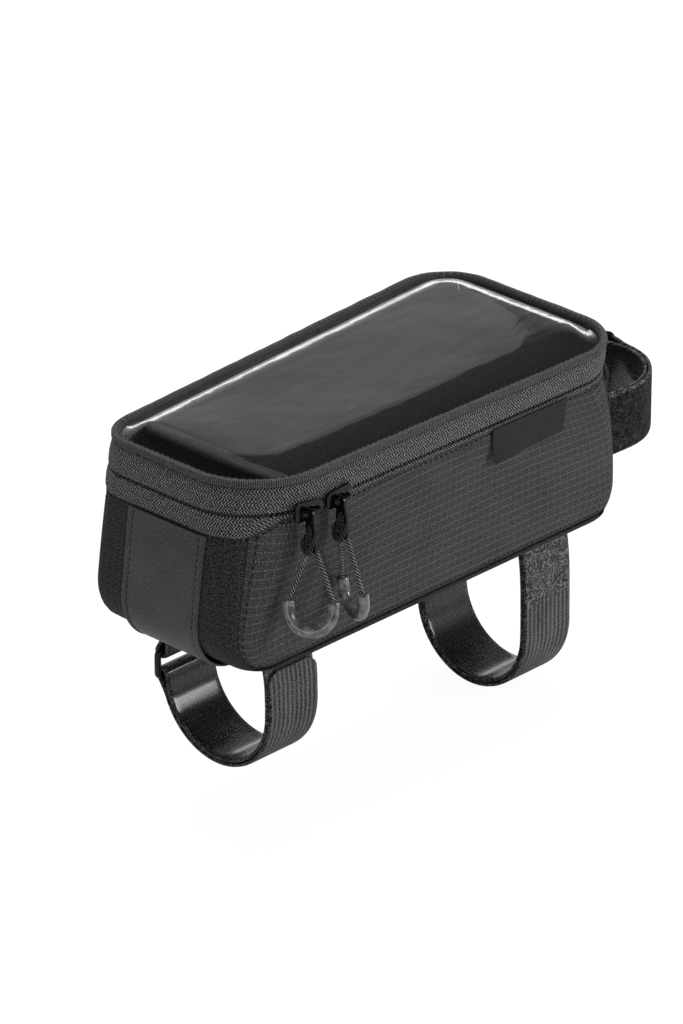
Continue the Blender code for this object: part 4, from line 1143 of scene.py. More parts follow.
GRAINS = grain_tree()
SOCKETS = {item.name: item.identifier for item in GRAINS.interface.items_tree if item.in_out == "INPUT"}


def grains(name, paths, spacing, size, finish, turn=0.0):
    """Grains along each path, as a plain mesh. Size is (upright, across, along) in metres."""
    points, edges = [], []
    for path in paths:
        edges += [(len(points) + step, len(points) + step + 1) for step in range(len(path) - 1)]
        points += [tuple(point) for point in path]
    mesh = bpy.data.meshes.new(name)
    mesh.from_pydata(points, edges, [])
    holder = bpy.data.objects.new(name + "_path", mesh)
    bpy.context.scene.collection.objects.link(holder)
    modifier = holder.modifiers.new("grains", "NODES")
    modifier.node_group = GRAINS
    for label, value in (("Spacing", spacing), ("Size", size), ("Turn", turn), ("Finish", finish)):
        modifier[SOCKETS[label]] = value
    bpy.context.view_layer.update()
    made = bpy.data.meshes.new_from_object(holder.evaluated_get(bpy.context.evaluated_depsgraph_get()))
    made.name = name
    bpy.data.objects.remove(holder, do_unlink=True)
    piece = bpy.data.objects.new(name, made)
    bpy.context.scene.collection.objects.link(piece)
    return piece


print("tree sockets:", sorted(SOCKETS))

# %% [markdown]
# ### Coil teeth
# Each half of the coil shows as a row of short, rounded teeth in the slot. The two halves sit
# half a pitch apart, so their teeth lie between one another while the zip is shut.

# %% Zip coils
COIL_PITCH = 0.0021
COIL_INSET = SHELL + GAP
COIL_DEPTH = 0.0020
COIL_HEIGHT = 0.0017


def make_coil(name, side):
    edge = ZIP_HEIGHT + side * SLOT_HALF
    stations = stations_between(*zip_span, 48, 12)
    corners = ((edge + side * COIL_HEIGHT, COIL_INSET), (edge + side * COIL_HEIGHT, COIL_INSET + COIL_DEPTH),
               (edge, COIL_INSET + COIL_DEPTH), (edge, COIL_INSET))
    rings = [[skin(station, height, inset) for height, inset in corners] for station in stations]
    core = tube(name, rings, coil_plastic)
    shift = 0.5 * COIL_PITCH if side > 0 else 0.0
    line = [skin(station, ZIP_HEIGHT + side * 0.00020, 0.0009)
            for station in stations_between(*zip_span, 60, 24)]
    first = (line[1] - line[0]).normalized() * shift
    teeth = grains(name + "_teeth", [[line[0] + first] + line[1:]], COIL_PITCH,
                   (0.00115, 0.0013, 0.00125), coil_plastic)
    return core, teeth


for side, body, node in ((-1, "bag", "lower_zip_coil"), (1, "lid", "upper_zip_coil")):
    core, teeth = make_coil("coil_below" if side < 0 else "coil_above", side)
    seat(core, body, node + "_zip_coil", node)
    seat(teeth, body, node + "_zip_coil")

# %% [markdown]
# ## Window
# The window is moulded film: its top is flat and its edge rolls down into a bound rim. Film
# this soft never lies quite flat, so long ripples bend what it mirrors, and a few creases run
# out of the tight corner at the near rear end.

# %% Window film
FILM = 0.0005
FILM_RISE = 0.0044
FILM_START = BEAD_WIDTH - BEAD_STANDS_OUT + GAP
FILM_EDGE = ZIP_HEIGHT + LID_HEIGHT - 0.0014
FILM_LEVEL = ZIP_HEIGHT + LID_HEIGHT - BEAD_HEIGHT
ROLL = ((0.0, 0.0), (0.0022, 0.10), (0.0050, 0.42), (0.0085, 0.80), (0.0130, 0.97), (0.0200, 1.0))


def rolled(reach):
    """The film's rise at this way in from its edge, as a share, with eased steps."""
    for (near, low), (far, high) in zip(ROLL, ROLL[1:]):
        if reach <= far:
            return mix(low, high, (reach - near) / (far - near))
    return 1.0


def film_height(point, reach):
    wide = ease(reach, 0.0, 0.020)
    slow = swell(point, 0.060, 31.0, 0.0009) + swell(point, 0.024, 34.0, 0.00008)
    corner = Vector((*plan_point(7.5, FILM_LEVEL, FILM_START), 0.0))
    away = Vector((point.x, point.y, 0.0)) - corner
    crease = math.sin(7.0 * math.atan2(away.y, away.x) + 0.6) * math.exp(-away.length / 0.022)
    return slow * wide + 0.00016 * crease * ease(reach, 0.001, 0.007)


def make_film():
    stations = stations_between(0, 8, 52, 16)[:-1]
    reaches = [0.0005 * step for step in range(31)]
    reaches += [mix(0.0155, 0.0365, (step + 1) / 14) for step in range(14)]
    smooth_rise = [sum(rolled(max(reach + shift * 0.0007, 0.0)) for shift in (-2, -1, 0, 1, 2)) / 5
                   for reach in reaches]
    smooth_rise[0] = 0.0
    grids = []
    for drop in (0.0, FILM):
        grid = []
        for reach, rise in reversed(list(zip(reaches, smooth_rise))):
            line = []
            for station in stations:
                x, y = plan_point(station, FILM_LEVEL, FILM_START + reach)
                point = lifted(x, y, FILM_EDGE + FILM_RISE * rise - drop)
                line.append(point + Vector((0, 0, film_height(point, reach))))
            grid.append(line)
        grids.append(grid)
    return cloth("window", grids[0], grids[1], film, None, True, True)


seat(make_film(), "lid", "window_film_clear_film", "window_film")

# %% [markdown]
# The rim is bound with ribbed tape that is rolled over the film's edge, so it is a bead with a
# slightly uneven back.

# %% Window binding
BEAD_SIDES = 14


def make_binding():
    stations = stations_between(0, 8, 90, 20)[:-1]
    middle = ZIP_HEIGHT + LID_HEIGHT - BEAD_HEIGHT / 2
    centre = BEAD_WIDTH / 2 - BEAD_STANDS_OUT
    rings = []
    for station in stations:
        here = skin(station, middle)
        uneven = 1 + swell(here, 0.006, 41.0, 0.10)
        ring = []
        for step in range(BEAD_SIDES):
            angle = 2 * math.pi * step / BEAD_SIDES
            square = 1 + 0.10 * math.cos(4 * angle + math.pi)
            inset = centre - BEAD_WIDTH / 2 * math.cos(angle) * square * uneven
            height = middle + BEAD_HEIGHT / 2 * math.sin(angle) * square * uneven
            x, y = plan_point(station, FILM_LEVEL, inset)
            ring.append(lifted(x, y, height))
        rings.append(ring)
    return tube("window_rim", rings, edge_tape, True)


seat(make_binding(), "lid", "window_binding_binding_cloth", "window_binding")

# %% [markdown]
# Under the window a cloth panel closes the device pocket from below. Its rear edge is free and
# bound, and the hand goes in there from inside the lid. It hangs a little in the middle.

# %% Pocket
POCKET_FLOOR, POCKET_PANEL, POCKET_MOUTH_X = 0.0051, 0.0015, -0.068
POCKET_ROWS, POCKET_COLUMNS = 36, 70
MOUTH_TAPE, MOUTH_REACH = 0.0006, 0.0035


def pocket_half_width(x, inset):
    """Half the pocket panel's width at this x, near and far, from the outline."""
    found = []
    for first, last in ((-1.0, 2.0), (6.0, 3.0)):
        low, high = first, last
        for _ in range(40):
            middle = (low + high) / 2
            if plan_point(middle, ZIP_HEIGHT + POCKET_FLOOR, inset)[0] < x:
                low = middle
            else:
                high = middle
        found.append(plan_point(low, ZIP_HEIGHT + POCKET_FLOOR, inset)[1])
    return found


def make_pocket():
    inset = TAPE + 4 * GAP
    ahead = [plan_point(station, ZIP_HEIGHT + POCKET_FLOOR, inset)[0] for station in (2.0, 2.5, 3.0)]
    front = max(ahead) - 0.00002

    def pair(row, column, share):
        x = mix(POCKET_MOUTH_X, front, 1 - (1 - share) ** 1.5)
        near, far = pocket_half_width(x, inset)
        y = mix(near, far, row / POCKET_ROWS)
        across = math.sin(math.pi * row / POCKET_ROWS)
        sag = 0.0006 * math.sin(math.pi * share) * across
        uneven = swell(Vector((x, y, 0)), 0.02, 51.0, 0.0004) * across
        return tuple(lifted(x, y, ZIP_HEIGHT + POCKET_FLOOR + layer) - Vector((0, 0, sag - uneven * 0.5))
                     for layer in (POCKET_PANEL, 0.0))

    shares = [column / POCKET_COLUMNS for column in range(POCKET_COLUMNS + 1)]
    return cloth("pocket_floor", *face_pair(POCKET_ROWS, shares, pair), pocket_cloth)


def make_mouth_tape():
    near, far = pocket_half_width(POCKET_MOUTH_X, TAPE + 4 * GAP)
    half = min(-near, far) - 4 * GAP
    low = ZIP_HEIGHT + POCKET_FLOOR
    front, inner = POCKET_MOUTH_X + MOUTH_REACH, POCKET_MOUTH_X - GAP
    top, bottom = low + POCKET_PANEL + GAP, low - GAP
    middle, turn_radius = (top + bottom) / 2, (top - bottom) / 2
    outer_line = [(front, top + MOUTH_TAPE)]
    inner_line = [(front, top)]
    for step in range(9):
        angle = math.pi / 2 + math.pi * step / 8
        outer_line.append((inner + (turn_radius + MOUTH_TAPE) * math.cos(angle) * 0.7,
                           middle + (turn_radius + MOUTH_TAPE) * math.sin(angle)))
        inner_line.append((inner + turn_radius * math.cos(angle) * 0.4,
                           middle + turn_radius * math.sin(angle)))
    outer_line.append((front, bottom - MOUTH_TAPE))
    inner_line.append((front, bottom))
    across = [mix(-half, half, step / 60) for step in range(61)]
    grids = [[[lifted(x, y, height) for y in across] for x, height in line]
             for line in (outer_line, inner_line)]
    return cloth("pocket_mouth_tape", grids[0], grids[1], edge_tape)


seat(make_pocket(), "lid", "pocket_panel_pocket_cloth", "pocket_panel")
seat(make_mouth_tape(), "lid", "pocket_mouth_binding_binding_cloth", "pocket_mouth_binding")

# %% [markdown]
# ## Label and end tabs
# A small woven label is caught under the zip on the near side. It is bare here, and its lower
# rear corner stands off the bag, as the real one's does. At the front end each end of the zip
# is hidden under a little folded tab.

# %% Label and end tabs
LABEL_X, LABEL_LENGTH, LABEL_DROP, LABEL_STANDS_OFF = 0.0280, 0.0390, 0.0130, 0.0032
LABEL, LABEL_OVER_TAPE, LABEL_LEAN = 0.0005, 0.0004, 0.0012
LABEL_ROWS, LABEL_COLUMNS = 20, 44
END_TAB, END_TAB_HEIGHT, END_TAB_STEPS = 0.0013, 0.0077, 14


def make_label():
    def pair(row, column, share):
        fall = row / LABEL_ROWS
        height = ZIP_HEIGHT - SIDE_TAPE_DROP + LABEL_OVER_TAPE - LABEL_DROP * fall
        start, end = plan_point(0.0, height, 0.0)[0], plan_point(1.0, height, 0.0)[0]
        along = LABEL_X + LABEL_LENGTH * share - LABEL_LEAN * fall
        station = (along - start) / (end - start)
        off = LABEL_STANDS_OFF * fall * fall * (1 - share) ** 1.5
        off += 0.0003 * fall * (1 + math.sin(share * 9.0))
        bevel = 0.00018 * (1 - ease(min(share, 1 - share) * LABEL_LENGTH, 0, 0.0006))
        return skin(station, height, -GAP - off - LABEL + bevel), skin(station, height, -GAP - off)

    shares = [column / LABEL_COLUMNS for column in range(LABEL_COLUMNS + 1)]
    return cloth("label", *face_pair(LABEL_ROWS, shares, pair), label_cloth)


def make_end_tab(name, start, end):
    last = END_TAB_STEPS
    stations = [mix(start, end, step / last) for step in range(last + 1)]

    def pair(row, column, station):
        height = mix(ZIP_HEIGHT - GAP - END_TAB_HEIGHT, ZIP_HEIGHT - GAP, row / last)
        edge = min(column, last - column, row, last - row) / last
        puff = END_TAB * (0.45 + 0.75 * ease(edge, 0.0, 0.22))
        puff += swell(skin(station, height), 0.003, 61.0, 0.0002)
        return skin(station, height, -GAP - puff), skin(station, height, -GAP)

    return cloth(name, *face_pair(last, stations, pair), end_cloth)


seat(make_label(), "bag", "side_label_label_cloth", "side_label")
seat(make_end_tab("tab_near_front", ZIP_END - 0.07, ZIP_END + 0.09), "bag",
     "zip_end_tab_near_twill_cloth", "zip_end_tab_near")
seat(make_end_tab("tab_far_front", 5 - ZIP_END - 0.09, 5 - ZIP_END + 0.07), "bag",
     "zip_end_tab_far_twill_cloth", "zip_end_tab_far")

# %% [markdown]
# ## Base strip
# A smooth coated strip runs from under the zip, down the rear end, along the underside and up
# the front end. It takes the rubbing of the frame. Its long edges are turned under, so they
# stand up as a low ridge beside a line of stitches.

# %% Base strip
BASE_STRIP, BASE_HALF_WIDTH = 0.0010, 0.0195
RIDGE_IN, STITCHES_IN = 0.0012, 0.0027
STRAP = 0.0015
REAR_PATCH_TOP = ZIP_HEIGHT - REAR_TAPE_DROP - 0.0008
FRONT_PAD_TOP = 0.050
UNDER = STRAP + 2 * GAP


def rear_x(height, y):
    station = 6.5
    for _ in range(30):
        x, here = plan_point(station, height, 0.0)
        station += (here - y) / 0.09
    return plan_point(station, height, 0.0)[0]


def base_lines(off_for, columns):
    """Rows of points along the whole strip, at an offset from the plain one."""
    lines = []
    for step in range(19):
        height = mix(REAR_PATCH_TOP, REAR_ROUNDING, step / 19)
        lines.append([lifted(rear_x(height, y) - GAP - off_for(y), y, height) for y in columns])
    for step in range(25):
        turn = math.pi / 2 * step / 24
        height = REAR_ROUNDING * (1 - math.sin(turn))
        x = rear_x(max(height, 0.00002), 0.0)
        line = []
        for y in columns:
            off = mix(GAP, UNDER, ease(step, 0, 24)) + off_for(y)
            line.append(lifted(x - off * math.cos(turn), y, height) - Vector((0, 0, off * math.sin(turn))))
        lines.append(line)
    bend_x = FLOOR_FRONT_X - FRONT_ROUNDING
    rear_flat = -0.0808
    for step in range(1, 40):
        x = mix(rear_flat, bend_x, step / 40)
        lines.append([Vector((x, y, FLOOR_ABOVE_BASE - UNDER - off_for(y))) for y in columns])
    for step in range(19):
        turn = math.pi / 2 * step / 18
        line = []
        for y in columns:
            radius = FRONT_ROUNDING + UNDER + off_for(y)
            line.append(Vector((bend_x + radius * math.sin(turn), y,
                                FLOOR_ABOVE_BASE + FRONT_ROUNDING - radius * math.cos(turn))))
        lines.append(line)
    for step in range(1, 12):
        z = mix(FRONT_ROUNDING, FRONT_PAD_TOP, step / 11) + FLOOR_ABOVE_BASE
        lines.append([Vector((bend_x + FRONT_ROUNDING + UNDER + off_for(y), y, z)) for y in columns])
    return lines


def base_face(y):
    from_edge = BASE_HALF_WIDTH - abs(y)
    ridge = 0.00030 * math.exp(-((from_edge - RIDGE_IN) / 0.0008) ** 2)
    stitch_line = -0.00030 * math.exp(-((from_edge - STITCHES_IN) / 0.0005) ** 2)
    rounded = -0.0004 * math.exp(-from_edge / 0.0004)
    return BASE_STRIP + ridge + stitch_line + rounded - 0.00032


def make_base():
    fine = [0.0, 0.0003, 0.0007, 0.0012, 0.0017, 0.0021, 0.0024, 0.0027, 0.0030, 0.0034, 0.0042,
            0.0060, 0.010]
    edge = [BASE_HALF_WIDTH - step for step in fine]
    columns = [-y for y in edge] + [-0.005, 0.0, 0.005] + list(reversed(edge))
    return cloth("base", base_lines(base_face, columns), base_lines(lambda y: 0.0, columns), base_cloth)


seat(make_base(), "bag", "base_strip_coated_base", "base_strip")

# %% [markdown]
# ## Straps
# Each strap is one length of band. Its end is folded round the first bar of a wire ring and
# sewn, and the rest runs under the bag, round the tube, over the ring's second bar and back
# on itself, where hooks and loops hold it. The route is laid out as a line first. Then a
# section with two faces and two fluffy edges is swept along it.

# %% Route of a strap
STRAP_HALF_LOOP = 0.0285
RING_WIRE, RING_BEND, RING_SPAN = 0.0013, 0.0015, 0.0098
REAR_STRAP_X, FRONT_STRAP_X = -0.0600, 0.0790
REAR_STRAP_DROP, FRONT_STRAP_DROP, HEAD_STRAP_DROP = 0.0230, 0.0414, 0.0187
HEAD_STRAP_HEIGHT = 0.0295
BOTTOM_RING_WAY, HEAD_RING_WAY = 0.0175, 0.0460
FOLD_BACK = 0.0095
# How far before the end of its route each strap's free end lies, by the strap's drop
END_LEFT = {REAR_STRAP_DROP: 0.0084, FRONT_STRAP_DROP: 0.0030, HEAD_STRAP_DROP: 0.0060}
WRAP = RING_WIRE + 1.6 * GAP + STRAP / 2


def flat_path(points, per_span):
    return [Vector((point.x, point.y)) for point in
            smooth_path([Vector((point.x, point.y, 0.0)) for point in points], per_span)]


class StrapWay:
    """The way of the inner layer, as points (across, down) in the loop's own plane."""

    def __init__(self, drop):
        self.channel = -(BASE_STRIP + GAP + STRAP / 2)
        inner = STRAP_HALF_LOOP - STRAP / 2 - STRAP - GAP
        side = [Vector((BASE_HALF_WIDTH + 0.0019, self.channel + GAP)),
                Vector((mix(BASE_HALF_WIDTH, inner, 0.62), drop * 0.05)),
                Vector((mix(BASE_HALF_WIDTH, inner, 0.93), drop * 0.40))]
        arc = [Vector((inner * math.cos(math.pi * step / 16), drop + inner * math.sin(math.pi * step / 16)))
               for step in range(17)]
        back = [Vector((-point.x, point.y)) for point in reversed(side)]
        self.line = flat_path(side + arc + back, 6)
        self.ways = way_along(self.line)
        self.length = self.ways[-1]

    def frame(self, way):
        way = min(max(way, 0.0), self.length)
        step = max(index for index in range(len(self.ways) - 1) if self.ways[index] <= way)
        share = (way - self.ways[step]) / (self.ways[step + 1] - self.ways[step])
        point = self.line[step].lerp(self.line[step + 1], share)
        along = (self.line[min(step + 2, len(self.line) - 1)] - self.line[max(step - 1, 0)]).normalized()
        return point, along, Vector((along.y, -along.x))

    def layer(self, way, off):
        point, _, normal = self.frame(way)
        return point + normal * off


def spaced(start, end, step):
    count = max(round(abs(end - start) / step), 1)
    return [mix(start, end, index / count) for index in range(count + 1)]


def strap_points(drop, ring_way):
    route = StrapWay(drop)
    layers = STRAP + GAP
    second = ring_way + RING_SPAN
    points = [route.layer(ring_way - FOLD_BACK, layers), route.layer(ring_way - 0.0062, layers * 1.15)]

    def add_wrap(way, start):
        point, along, normal = route.frame(way)
        for step in range(7):
            angle = math.radians(start + 30 * step)
            points.append(point + normal * (WRAP + WRAP * math.cos(angle))
                          + along * (WRAP * math.sin(angle)))

    add_wrap(ring_way, 0)
    points.extend(route.layer(way, 0.0) for way in spaced(ring_way - 0.003, 0.0, 0.006))
    edge = BASE_HALF_WIDTH
    points.extend(Vector((across, route.channel)) for across in
                  (edge + 0.0003, edge - 0.0025, 0.006, -0.006, -edge + 0.0025, -edge - 0.0003))
    points.extend(route.layer(way, 0.0) for way in spaced(route.length, second + 0.003, 0.006))
    add_wrap(second, 180)
    points.append(route.layer(second + 0.0062, layers * 1.15))
    free_end = route.length - END_LEFT[drop]
    points.extend(route.layer(way, layers) for way in spaced(second + 0.0105, free_end, 0.006))
    return points


FRONT_FACE = FLOOR_FRONT_X + FLOOR_ABOVE_BASE
HEAD_Z = HEAD_STRAP_HEIGHT + FLOOR_ABOVE_BASE


def under(centre_x):
    return lambda across, down, width: Vector((centre_x + width, across, -down))


def ahead(across, down, width):
    return Vector((FRONT_FACE + down, across, HEAD_Z + width))


STRAPS = (("rear", REAR_STRAP_DROP, BOTTOM_RING_WAY, under(REAR_STRAP_X)),
          ("front", FRONT_STRAP_DROP, BOTTOM_RING_WAY, under(FRONT_STRAP_X)),
          ("head_tube", HEAD_STRAP_DROP, HEAD_RING_WAY, ahead))
print("inner way of the rear strap:", round(StrapWay(REAR_STRAP_DROP).length, 4), "m")

# %% Straps
ACROSS = 26


def strap_section(half):
    """Points (width, thickness) round the section, first along one face and back on the other."""
    widths = [mix(-half, half, ease(step / ACROSS, 0, 1) * 0.3 + step / ACROSS * 0.7)
              for step in range(ACROSS + 1)]
    thin = STRAP / 2
    upper = [(width, thin * (1 - 0.35 * math.exp(-(half - abs(width)) / 0.0005))) for width in widths]
    lower = [(width, -deep) for width, deep in reversed(upper)]
    return upper + [(half + 0.0002, 0.0)] + lower + [(-half - 0.0002, 0.0)]


def make_strap(name, drop, ring_way, place, finish_at):
    """finish_at(outward, point, width) picks the finish of a face on the band's flat sides."""
    path = flat_path(strap_points(drop, ring_way), 5)
    ways = way_along(path)
    rings, flats, sides_out = [], [], []
    for step, point in enumerate(path):
        before, after = path[max(step - 1, 0)], path[min(step + 1, len(path) - 1)]
        along = (after - before).normalized()
        side = Vector((-along.y, along.x))
        sides_out.append(side.dot(point - Vector((0.0, drop * 0.6))) > 0)
        half = STRAP_WIDTH / 2 - 0.0040 * (1 - ease(ways[-1] - ways[step], 0.0, 0.0040)) ** 2
        ring = []
        for width, deep in strap_section(half):
            here = point + side * deep
            ring.append(place(here.x, here.y, width))
        rings.append(ring)
        flats.append([(ways[step], width) for width, deep in strap_section(half)])
    sides = len(rings[0])
    faces, face_flats, kinds = [], [], []
    for step in range(len(rings) - 1):
        for side in range(sides):
            after = (side + 1) % sides
            here, there = step * sides, (step + 1) * sides
            faces.append((here + side, here + after, there + after, there + side))
            face_flats.append((flats[step][side], flats[step][after],
                               flats[step + 1][after], flats[step + 1][side]))
            if side % (ACROSS + 2) in (0, ACROSS - 1, ACROSS, ACROSS + 1):
                kinds.append(STRAP_EDGE)
            else:
                kinds.append(finish_at(sides_out[step] == (side < ACROSS), path[step], flats[step][side][1]))
    last = (len(rings) - 1) * sides
    for ring, step in ((tuple(reversed(range(sides))), 0), (tuple(range(last, last + sides)), -1)):
        faces.append(ring)
        face_flats.append(tuple(flats[step][index % sides] for index in ring))
        kinds.append(STRAP_EDGE)
    points = [point for ring in rings for point in ring]
    made = add_mesh(name, points, faces, face_flats)
    for finish in STRAP_FINISHES:
        made.data.materials.append(finish)
    made.data.polygons.foreach_set("material_index", kinds)
    return outward(made)


STRAP_FINISHES = (strap_outside, strap_inside, strap_edge, loop_cloth, velour)
RIBBED, GLOSSY, STRAP_EDGE, LOOPS, VELOUR = range(5)
LOOPS_END = 0.027


def plain_band(outward, point, width):
    return RIBBED if outward else GLOSSY


def band_with_loops(outward, point, width):
    """Loops near the bag, on the outer face at the near side and the inner one at the far side."""
    zigzag = 0.0026 * abs((width / 0.0026) % 2 - 1)
    if point.y < LOOPS_END + zigzag and outward == (point.x < 0):
        return LOOPS
    return RIBBED if outward else GLOSSY


def velour_band(outward, point, width):
    return VELOUR if outward else GLOSSY


BANDS = {"rear": plain_band, "front": band_with_loops, "head_tube": velour_band}
for name, drop, ring_way, place in STRAPS:
    strap = make_strap(name + "_band", drop, ring_way, place, BANDS[name])
    seat(strap, "bag", name + "_strap_strap_cloth", name + "_strap")

# %% [markdown]
# The rings are bent from wire and painted black. Each is a flat loop with two long bars, so it
# is a round section swept along a rounded rectangle.

# %% Strap rings


def make_ring(name, drop, ring_way, place):
    route = StrapWay(drop)
    upper, lower = route.layer(ring_way, WRAP), route.layer(ring_way + RING_SPAN, WRAP)
    reach = STRAP_WIDTH / 2 + GAP + 0.0002 + RING_WIRE
    length = (lower - upper).length
    path = []
    for share, width, turns in ((0.0, -reach, 180), (0.0, reach, 270), (1.0, reach, 0), (1.0, -reach, 90)):
        along = RING_BEND if share == 0.0 else length - RING_BEND
        centre_width = width - math.copysign(RING_BEND, width)
        for step in range(7):
            angle = math.radians(turns + 15 * step)
            centre = upper.lerp(lower, (along + RING_BEND * math.sin(angle)) / length)
            path.append(place(centre.x, centre.y, centre_width + RING_BEND * math.cos(angle)))
    return tube(name, wire(path, RING_WIRE, 16, True), wire_metal, True)


for name, drop, ring_way, place in STRAPS:
    ring = make_ring(name + "_ring", drop, ring_way, place)
    seat(ring, "bag", name + "_strap_ring_ring_metal", name + "_strap_ring")

# %% [markdown]
# ## Sliders, tabs and pulls
# Each slider is a small casting with a flat tab on its bridge. The solid model already has
# their true shape, so the pieces here are the same solids with softened edges, because a cast
# and painted edge is never sharp and the soft edge is what catches the light.

# %% Cast pieces
CAST_EDGE = 0.00028


def softened(name, node_name, width, material):
    """The solid with its flat faces joined again and its edges rounded."""
    node = frame["nodes"][node_name]
    mesh = node.data.copy()
    mesh.transform(node.matrix_world)
    work = bmesh.new()
    work.from_mesh(mesh)
    bmesh.ops.remove_doubles(work, verts=work.verts, dist=0.000002)
    bmesh.ops.dissolve_limit(work, angle_limit=math.radians(2), verts=work.verts, edges=work.edges)
    work.to_mesh(mesh)
    work.free()
    holder = bpy.data.objects.new(name + "_solid", mesh)
    bpy.context.scene.collection.objects.link(holder)
    bevel = holder.modifiers.new("edge", "BEVEL")
    bevel.width = width
    bevel.segments = 3
    bevel.angle_limit = math.radians(24)
    bpy.context.view_layer.update()
    made = bpy.data.meshes.new_from_object(holder.evaluated_get(bpy.context.evaluated_depsgraph_get()))
    bpy.data.objects.remove(holder, do_unlink=True)
    made.name = name
    made.materials.clear()
    made.materials.append(material)
    made.polygons.foreach_set("use_smooth", [True] * len(made.polygons))
    made.polygons.foreach_set("material_index", [0] * len(made.polygons))
    made.set_sharp_from_angle(angle=math.radians(60))
    piece = bpy.data.objects.new(name, made)
    bpy.context.scene.collection.objects.link(piece)
    return piece


for side in ("left", "right"):
    slider = softened("slider_" + side + "_cast", "zip_slider_" + side, CAST_EDGE, metal)
    seat(slider, "slider_" + side, "zip_slider_" + side + "_slider_metal", "zip_slider_" + side)
    tab = softened("tab_" + side + "_cast", "pull_tab_" + side, CAST_EDGE * 0.8, metal)
    seat(tab, "tab_" + side, "pull_tab_" + side + "_slider_metal", "pull_tab_" + side)

# %% [markdown]
# ### The two pulls
# A thin braided cord is hitched through the slot of each tab, and its two legs run into a
# soft tube bent like a horseshoe, which is the grip. The left grip faces the camera and the
# right one has turned nearly edge-on. The frames below are the ones of the solid model.

# %% Frames of the pulls
RIGHT_SLIDER_X, LEFT_SLIDER_TURN = -0.053, 6.4
TAB_SHIFT, BAR_OFF = -0.0015, 0.0047
TAB_LENGTH, TAB_THICKNESS, TAB_END, TAB_SHOULDER = 0.015, 0.0012, 0.0012, 0.006
CORD_RADIUS, TUBE_RADIUS, TUBE_BORE = 0.0009, 0.0023, 0.0013
GRIP_HALF, GRIP_BELOW_BAR, GRIP_STRAIGHT = 0.0082, 0.0335, 0.0032
RIGHT_HANG = (4.0, 14.5, 0.5, 108.0, 12.0)
LEFT_HANG = (5.0, 14.0, -12.5, 44.0, 0.0)


def turned(first, second, degrees):
    angle = math.radians(degrees)
    return (first * math.cos(angle) + second * math.sin(angle),
            second * math.cos(angle) - first * math.sin(angle))


class Hang:
    """The frame of a pull: its tab leans off the bag, and its grip leans, swings and turns."""

    def __init__(self, station, lean, loop_lean, swing, turn, roll):
        ahead, behind = (skin(station + step, ZIP_HEIGHT) for step in (0.002, -0.002))
        along = (ahead - behind).normalized()
        out = Vector((along.y, -along.x, 0.0)).normalized()
        self.origin = skin(station, ZIP_HEIGHT) + along * TAB_SHIFT + out * BAR_OFF
        self.along = Vector((along.x, along.y, 0.0)).normalized()
        plumb = Vector((0.0, 0.0, -1.0))
        self.down, self.out = turned(plumb, out, lean)
        self.pivot = self.point(0.0, 0.0, TAB_LENGTH - TAB_END / 2 - 0.0002)
        lower, loop_out = turned(plumb, out, loop_lean)
        self.loop_down, self.loop_along = turned(lower, self.along, swing)
        spread, _ = turned(self.loop_along, loop_out, turn)
        self.spread, self.grip_down = turned(spread, self.loop_down, roll)
        self.top = self.pivot + self.loop_down * (GRIP_BELOW_BAR - TAB_LENGTH)

    def point(self, along, out, down):
        return self.origin + self.along * along + self.out * out + self.down * down

    def bar(self, degrees, radius):
        """A point round the tab's end bar, from one face of the tab over it to the other."""
        angle = math.radians(degrees)
        aside, above = radius * math.sin(angle), radius * math.cos(angle)
        return self.pivot + self.loop_along * aside - self.loop_down * above


near_start, near_end = (plan_point(station, ZIP_HEIGHT, 0.0)[0] for station in (0.0, 1.0))
turn_of_corner = math.degrees(Outline(ZIP_HEIGHT, 0.0).arcs[-1][4])
HANGS = {"right": Hang((RIGHT_SLIDER_X - near_start) / (near_end - near_start), *RIGHT_HANG),
         "left": Hang(2 * CORNERS - LEFT_SLIDER_TURN / turn_of_corner, *LEFT_HANG)}
for side, hang in HANGS.items():
    node = frame["nodes"]["pull_tab_" + side]
    apart = (hang.origin - node.matrix_world.translation).length * 1000
    print(side, "bar is", round(apart, 3), "mm from its joint")

# %% [markdown]
# The cord leaves one face of the tab, runs down a leg, through the tube and back up to the other face. Its
# length is printed.

# %% Cords and grips
WRAP_RADIUS = TAB_THICKNESS / 2 + CORD_RADIUS + GAP


def grip_line(hang):
    """The line of the tube: a short straight, a half circle and a straight."""
    line = [hang.top + hang.spread * GRIP_HALF]
    for step in range(9):
        angle = math.radians(180 * step / 8)
        line.append(hang.top + hang.spread * (GRIP_HALF * math.cos(angle))
                    + hang.grip_down * (GRIP_STRAIGHT + GRIP_HALF * math.sin(angle)))
    return line + [hang.top - hang.spread * GRIP_HALF]


def cord_line(hang):
    grip = grip_line(hang)
    first, last = hang.bar(90, WRAP_RADIUS), hang.bar(-90, WRAP_RADIUS)
    down = [first.lerp(grip[0], share) for share in (0.0, 0.3, 0.65, 0.93)]
    back = [last.lerp(grip[-1], share) for share in (0.93, 0.65, 0.3, 0.0)]
    return smooth_path(down + grip + back, 6)


def make_grip(name, hang):
    """A soft tube whose cut ends are slightly flared."""
    path = smooth_path(grip_line(hang), 7)

    def outside(share):
        from_end = min(share, 1 - share)
        return TUBE_RADIUS * (1 + 0.05 * math.exp(-from_end / 0.03)) - 0.00025 * math.exp(-from_end / 0.004)

    outer, bore = wire(path, outside, 24), wire(path, TUBE_BORE, 24)
    rings = [bore[0]] + outer + [bore[-1]] + list(reversed(bore))[1:-1]
    return tube(name, rings, tube_plastic, True)


